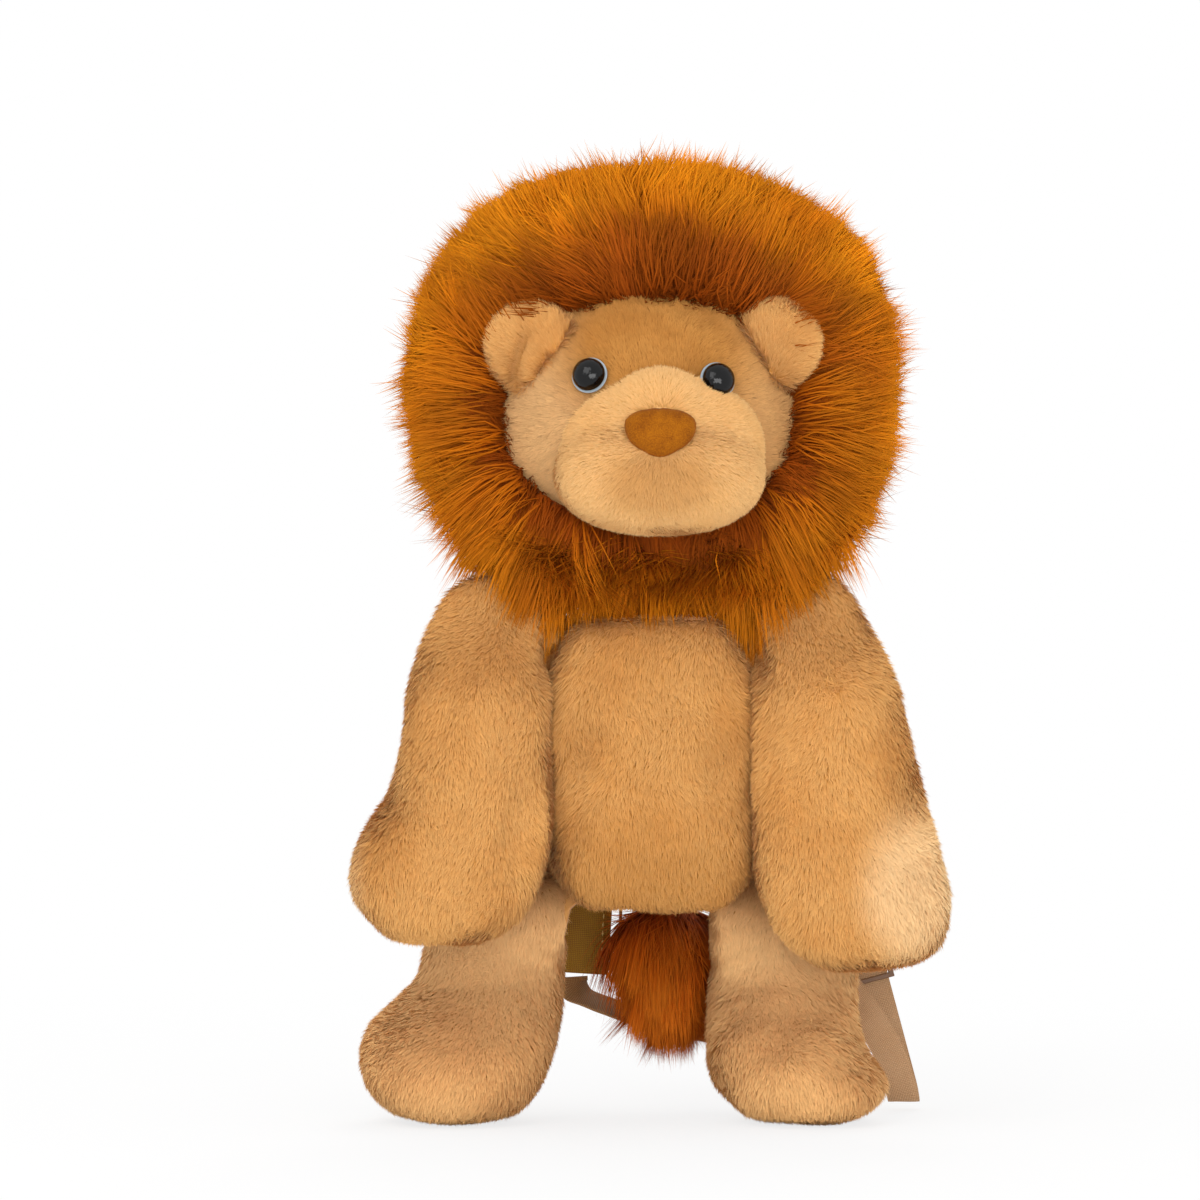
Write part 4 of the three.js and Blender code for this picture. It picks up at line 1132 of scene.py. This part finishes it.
def makeTuft():
    core = softCopy("tuft_skin", "tail_tuft", 2.5, 6, 2.5)

    def shortened(p, normals):
        # only the upper part is stuffed; the brush below it is hair
        down = np.clip(-180 - p[:, 2], 0, 50)
        p[:, 2] += 0.36 * down + 2 + 5 * (1 - smoothstep(down, 0, 16))
        wide = 1.25 + 1.6 * (1 - smoothstep(down, 0, 18)) - 0.5 * down / 50
        p[:, 0] = 7.5 + (p[:, 0] - 6) * wide
        return p

    reshape(core, shortened)
    growPile("tuft_pile", core, "tuftPile", "tail", longPile, **tuft,
             comb=lambda places, outward: outward * [0.1, 0.1, 0] - [0, 0, 1])
    dress(core, "tuftBacking", "tail", "tail_tuft", fill=0.5)


makeMane()
makeTuft()
print("mane and tuft made")


# straps: pads and webbing swept along the same routes as their solids
def smoothRoute(stops, count):
    # count places, evenly spaced along a smooth curve through the stops, and its length
    rows = np.array(stops, float)
    rows = np.vstack([2 * rows[0] - rows[1], rows, 2 * rows[-1] - rows[-2]])
    fine = []
    for i in range(1, len(rows) - 2):
        p = rows[i - 1:i + 3]
        d = [max(np.linalg.norm(p[k + 1] - p[k]) ** 0.5, 1e-4) for k in range(3)]
        legs = [(p[k + 1] - p[k]) / d[k] for k in range(3)]
        start, end = ((legs[k] - (p[k + 2] - p[k]) / (d[k] + d[k + 1]) + legs[k + 1]) * d[1]
                      for k in range(2))
        t = np.linspace(0, 1, 40)[:, None]
        curve = (2 * t**3 - 3 * t**2 + 1) * p[1] + (t**3 - 2 * t**2 + t) * start
        curve += (-2 * t**3 + 3 * t**2) * p[2] + (t**3 - t**2) * end
        fine.append(curve)
    fine = np.vstack(fine)
    steps = np.r_[0, np.cumsum(np.linalg.norm(np.diff(fine, axis=0), axis=1))]
    even = np.linspace(0, steps[-1], count)
    return np.stack([np.interp(even, steps, fine[:, k]) for k in range(3)], axis=1), steps[-1]


def band(name, stops, width, thickness, count, crown, across, sideAt=None):
    # a flat band swept along a route; crown thins its edges, as on a padded strap
    centres, length = smoothRoute(stops, count)
    ahead = unit(np.gradient(centres, axis=0))
    share = np.linspace(0, 1, count)
    side = np.array([sideAt(t) for t in share]) if sideAt else np.tile([1.0, 0, 0], (count, 1))
    side = unit(squareTo(side, ahead))
    up = np.cross(ahead, side)
    shape = bmesh.new()
    bmesh.ops.create_grid(shape, x_segments=across, y_segments=count - 1, size=1)
    layer = shape.loops.layers.uv.new("cloth")
    for face in shape.faces:
        for loop in face.loops:
            x, y = loop.vert.co.x, loop.vert.co.y
            loop[layer].uv = (x * width / 2 * mm, (y + 1) / 2 * length * mm)
    flat = {v: (v.co.x, int(round((v.co.y + 1) / 2 * (count - 1)))) for v in shape.verts}
    outline = [e for e in shape.edges if e.is_boundary]
    copied = bmesh.ops.duplicate(shape, geom=allOf(shape))
    below = {copied["vert_map"][v]: v for v in flat}
    turned = [item for item in copied["geom"] if isinstance(item, bmesh.types.BMFace)]
    bmesh.ops.reverse_faces(shape, faces=turned)
    under = [copied["edge_map"][e] for e in outline]
    bmesh.ops.bridge_loops(shape, edges=outline + under)
    for v in shape.verts:
        top = v in flat
        x, row = flat[v] if top else flat[below[v]]
        half = thickness / 2 * (1 - crown * abs(x) ** 4)
        place = centres[row] + side[row] * x * width / 2 + up[row] * half * (1 if top else -1)
        v.co = Vector(place * mm)
    bmesh.ops.recalc_face_normals(shape, faces=shape.faces)
    return newPiece(name, shape)


stitch = {"offset": 13.2, "lift": 2.6, "pitch": 4, "length": 2.9, "thread": 0.5, "steps": 400}


def stitched(name, stops):
    # two rows of single stitches along a route, on both faces of the cloth
    centres, total = smoothRoute(stops, stitch["steps"])
    ahead = unit(np.gradient(centres, axis=0))
    side = unit(squareTo(np.array([1.0, 0, 0]), ahead))
    up = np.cross(ahead, side)
    spots = [(offset, face) for offset in (-stitch["offset"], stitch["offset"]) for face in (-1, 1)]
    shape = bmesh.new()
    for along in np.arange(stitch["pitch"], total - stitch["pitch"], stitch["pitch"]):
        row = int(along / total * (stitch["steps"] - 1))
        for offset, face in spots:
            middle = centres[row] + side[row] * offset + up[row] * face * stitch["lift"]
            ends = [middle + ahead[row] * end * stitch["length"] / 2 for end in (-1, 1)]
            belt = [middle + (side[row] * math.cos(a) + up[row] * math.sin(a)) * stitch["thread"]
                    for a in np.arange(4) * math.pi / 2]
            corners = [shape.verts.new(Vector(place * mm)) for place in ends + belt]
            for k in range(4):
                first, second = corners[2 + k], corners[2 + (k + 1) % 4]
                shape.faces.new((corners[0], second, first))
                shape.faces.new((corners[1], first, second))
    bmesh.ops.recalc_face_normals(shape, faces=shape.faces)
    return newPiece(name, shape)


# the left webbing turns back on itself at the pass, where its adjuster slides
strap = {
    "padWidth": 34, "padThickness": 6, "webbing": 15, "webbingThickness": 1.6,
    "leftPad": [(-27, -4.5, -49), (-27.5, -2.5, -67), (-31, 15.5, -121), (-35, 18, -177),
                (-37, 17.5, -209)],
    "rightPad": [(27, -4.5, -49), (31, -2.5, -66), (56, 17.5, -115), (84, 19.5, -162),
                 (97, 17.5, -187)],
    "passX": (-5, -1, 20.5, 42, 46), "passSlope": -0.225, "passTilt": math.radians(30),
    "passLevel": -242, "passGap": 5,
    "leftStart": [(-37.3, 17.5, -211), (-36.8, 17.5, -215), (-31, 17.5, -220.5),
                  (-19, 17.5, -225.5)],
    "leftEnd": [(-13, 17.5, -215), (-14, 17.5, -197), (-14, 17.5, -173.6)],
    "rightStart": [(97.5, 17.5, -188.1)],
    "rightEnd": [(120.5, 17.5, -265), (121, 12.5, -269.5), (119.5, 8.5, -264), (112, 7.5, -243),
                 (90, 7.5, -211), (64, 3.5, -181), (51.5, -12.1, -162), (51, -13.1, -153.9)],
}


def onPass(x, above):
    tilt = strap["passTilt"]
    z = strap["passLevel"] + above * math.cos(tilt) + strap["passSlope"] * (x - 46)
    return (x, 17.5 - above * math.sin(tilt), z)


def makeStraps():
    left = strap["leftStart"] + [onPass(x, 0) for x in strap["passX"]] + [onPass(49.2, 3.2)]
    left += [onPass(x, strap["passGap"]) for x in reversed(strap["passX"])] + strap["leftEnd"]
    straight = [(102 + 16.5 * s, 18.5, -195 - 62 * s) for s in (0, 0.08, 0.5, 0.92, 1)]
    right = strap["rightStart"] + straight + strap["rightEnd"]
    tilted = np.array([0, math.cos(strap["passTilt"]), math.sin(strap["passTilt"])])

    def turning(t):
        return np.array([1.0, 0, 0]) + (tilted - [1.0, 0, 0]) * float(smoothstep(t, 0, 0.08))

    for name in ("left", "right"):
        route = strap[name + "Pad"]
        pad = band("pad_" + name, route, strap["padWidth"], strap["padThickness"], 70, 0.65, 14)
        dress(pad, "strapCloth", "bag", "strap_pad_" + name, fill=0.5)
        dress(stitched("pad_stitches_" + name, route), "stitchThread", "bag")
    for name, route, sideAt, count, finish in (
        ("left", left, turning, 260, "webbing"), ("right", right, None, 150, "litWebbingCopy"),
    ):
        web = band("web_" + name, route, strap["webbing"], strap["webbingThickness"], count, 0.3,
                   6, sideAt)
        dress(web, finish, "bag", "webbing_" + name)


# rigid and small sewn parts
def boxMap(piece):
    # lays the cloth map flat over each face, in metres
    shape = shapeOf(piece)
    layer = shape.loops.layers.uv.new("cloth")
    for face in shape.faces:
        n = [abs(c) for c in face.normal]
        axes = [k for k in range(3) if k != n.index(max(n))]
        for loop in face.loops:
            loop[layer].uv = (loop.vert.co[axes[0]], loop.vert.co[axes[1]])
    return putBack(piece, shape)


# finish, body and how far the edges are eased
parts = {
    "zip_slider": ("zipMetal", "zip_slider", 0.2),
    "zip_pull": ("zipMetal", "zip_pull", 0.35),
    "adjuster_left": ("adjusterPlastic", "adjuster_left", 0.35),
    "adjuster_right": ("adjusterPlastic", "adjuster_right", 0.35),
    "zip_tape_left": ("tapeCloth", "zip_leaf_left", 0),
    "zip_tape_right": ("tapeCloth", "zip_leaf_right", 0),
    "zip_end_top": ("tapeCloth", "bag", 0),
    "zip_end_bottom": ("tapeCloth", "bag", 0),
    "strap_yoke": ("strapCloth", "bag", 0.5),
    "anchor_tab_left": ("strapCloth", "bag", 0.7),
    "anchor_tab_right": ("strapCloth", "bag", 1.2),
    "grab_loop": ("webbing", "bag", 0.4),
}


def makeParts():
    for node, (finish, body, edge) in parts.items():
        piece = mergedCopy(node + "_part", node)
        if edge:
            modify(piece, "BEVEL", width=edge * mm, segments=2, limit_method="ANGLE",
                   angle_limit=0.6, harden_normals=False)
        dress(boxMap(piece), finish, body, node)


zipCoil = {
    "pitch": 2.2, "low": -128, "high": -74, "y": -13.1, "root": 3.3, "past": 0.5, "deep": 1.0,
    "tall": 1.0, "cord": 0.55,
}


def makeCoils():
    # the loops of the two nylon coils mesh with each other along the middle of the closed zip
    low, high, root = zipCoil["low"], zipCoil["high"], zipCoil["root"]
    reach = (root + zipCoil["past"]) / 2
    size = Matrix.Diagonal([reach * mm, zipCoil["deep"] * mm, zipCoil["tall"] / 2 * mm, 1])
    for name, side in (("left", -1), ("right", 1)):
        shape = bmesh.new()
        for k in range(int((high - low) / zipCoil["pitch"])):
            z = low + zipCoil["pitch"] * (k + 0.25 + 0.25 * (1 + side))
            at = Matrix.Translation((side * (root - reach) * mm, zipCoil["y"] * mm, z * mm))
            bmesh.ops.create_uvsphere(shape, u_segments=12, v_segments=8, radius=1,
                                      matrix=at @ size)
        middle = (side * root * mm, zipCoil["y"] * mm, (high + low) / 2 * mm)
        thick = zipCoil["cord"] * mm
        bmesh.ops.create_cone(shape, cap_ends=True, segments=10, radius1=thick, radius2=thick,
                              depth=(high - low) * mm, matrix=Matrix.Translation(middle))
        coil = newPiece("zip_coil_loops_" + name, shape)
        dress(coil, "zipNylon", "zip_leaf_" + name, "zip_coil_" + name)


def makeLining():
    # a loose woven inner bag, open behind the zip, rumpled by its own slack
    skin = bagForm("lining_skin", bag["liningDepth"] + 0.6)
    lumpy(skin, *bag["liningLumps"])
    reshape(skin, keepToBag(bag["liningDepth"]))
    thicken(openSlot(skin, 0.6), bag["liningWall"])
    dress(boxMap(skin), "liningCloth", "bag", "lining")


makeStraps()
makeParts()
makeCoils()
makeLining()
print("straps and small parts made")

studio = {
    "floor": -273.6, "floorShare": 0.22, "world": 0.78,
    # in metres: where the lamps point, and after its watts the size and place of each
    "aim": (0, -0.07, -0.03),
    "lamps": {
        "key": (9.5, 1.1, (-0.75, -1.5, 1.05)), "fill": (32, 1.4, (0.3, -1.9, -0.2)),
        "spark": (1.0, 0.07, (-0.35, -1.6, 0.7)), "rim": (7, 1.0, (0.2, 1.2, 1.1)),
    },
}


def seenDirectly(tree):
    # 1 where the view, a mirror or glass shows a surface, 0 where it only lights others
    path = add(tree, "LightPath").outputs
    seen = path["Is Camera Ray"]
    for label in ("Is Glossy Ray", "Is Transmission Ray"):
        seen = add(tree, "Math", {0: seen, 1: path[label]}, operation="MAXIMUM").outputs[0]
    return seen


def makeFloor():
    shape = bmesh.new()
    bmesh.ops.create_grid(shape, x_segments=1, y_segments=1, size=6)
    bmesh.ops.translate(shape, vec=(0, 0, studio["floor"] * mm), verts=shape.verts)
    floor = newPiece("floor", shape)
    # matt under the lion, where its shadow falls, and white further off
    material, tree = startMaterial("matt white floor")
    where = add(tree, "TexCoord").outputs["Object"]
    away = add(tree, "VectorMath", {0: where}, operation="LENGTH").outputs["Value"]
    near = add(tree, "MapRange", {
        "Value": away, "From Min": 0.3, "From Max": 0.9, "To Min": 1 - studio["floorShare"],
        "To Max": 1.0,
    })
    white = add(tree, "Math", {0: seenDirectly(tree), 1: near.outputs[0]}, operation="MULTIPLY")
    matt = add(tree, "BsdfDiffuse", {"Color": (0.9, 0.9, 0.9, 1)})
    glow = add(tree, "Emission", {"Color": (1, 1, 1, 1), "Strength": 1.0})
    mixed = add(tree, "MixShader", {0: white.outputs[0], 1: matt.outputs[0], 2: glow.outputs[0]})
    floor.data.materials.append(endMaterial(material, mixed))


def makeLight():
    world = bpy.data.worlds.new("studio")
    world.use_nodes = True
    tree = world.node_tree
    tree.nodes.clear()
    strength = add(tree, "MapRange", {
        "Value": seenDirectly(tree), "To Min": studio["world"], "To Max": 1.0,
    })
    sky = add(tree, "Background", {"Color": (1, 1, 1, 1), "Strength": strength.outputs[0]})
    add(tree, "OutputWorld", {"Surface": sky.outputs[0]})
    scene.world = world
    for name, (power, size, place) in studio["lamps"].items():
        light = bpy.data.lights.new(name, "AREA")
        light.energy, light.size = power, size
        lamp = linked(name, light)
        lamp.location = place
        ahead = Vector(studio["aim"]) - Vector(place)
        lamp.rotation_euler = ahead.to_track_quat("-Z", "Y").to_euler()


makeFloor()
makeLight()
scene.view_settings.view_transform = "Standard"
print("studio made")
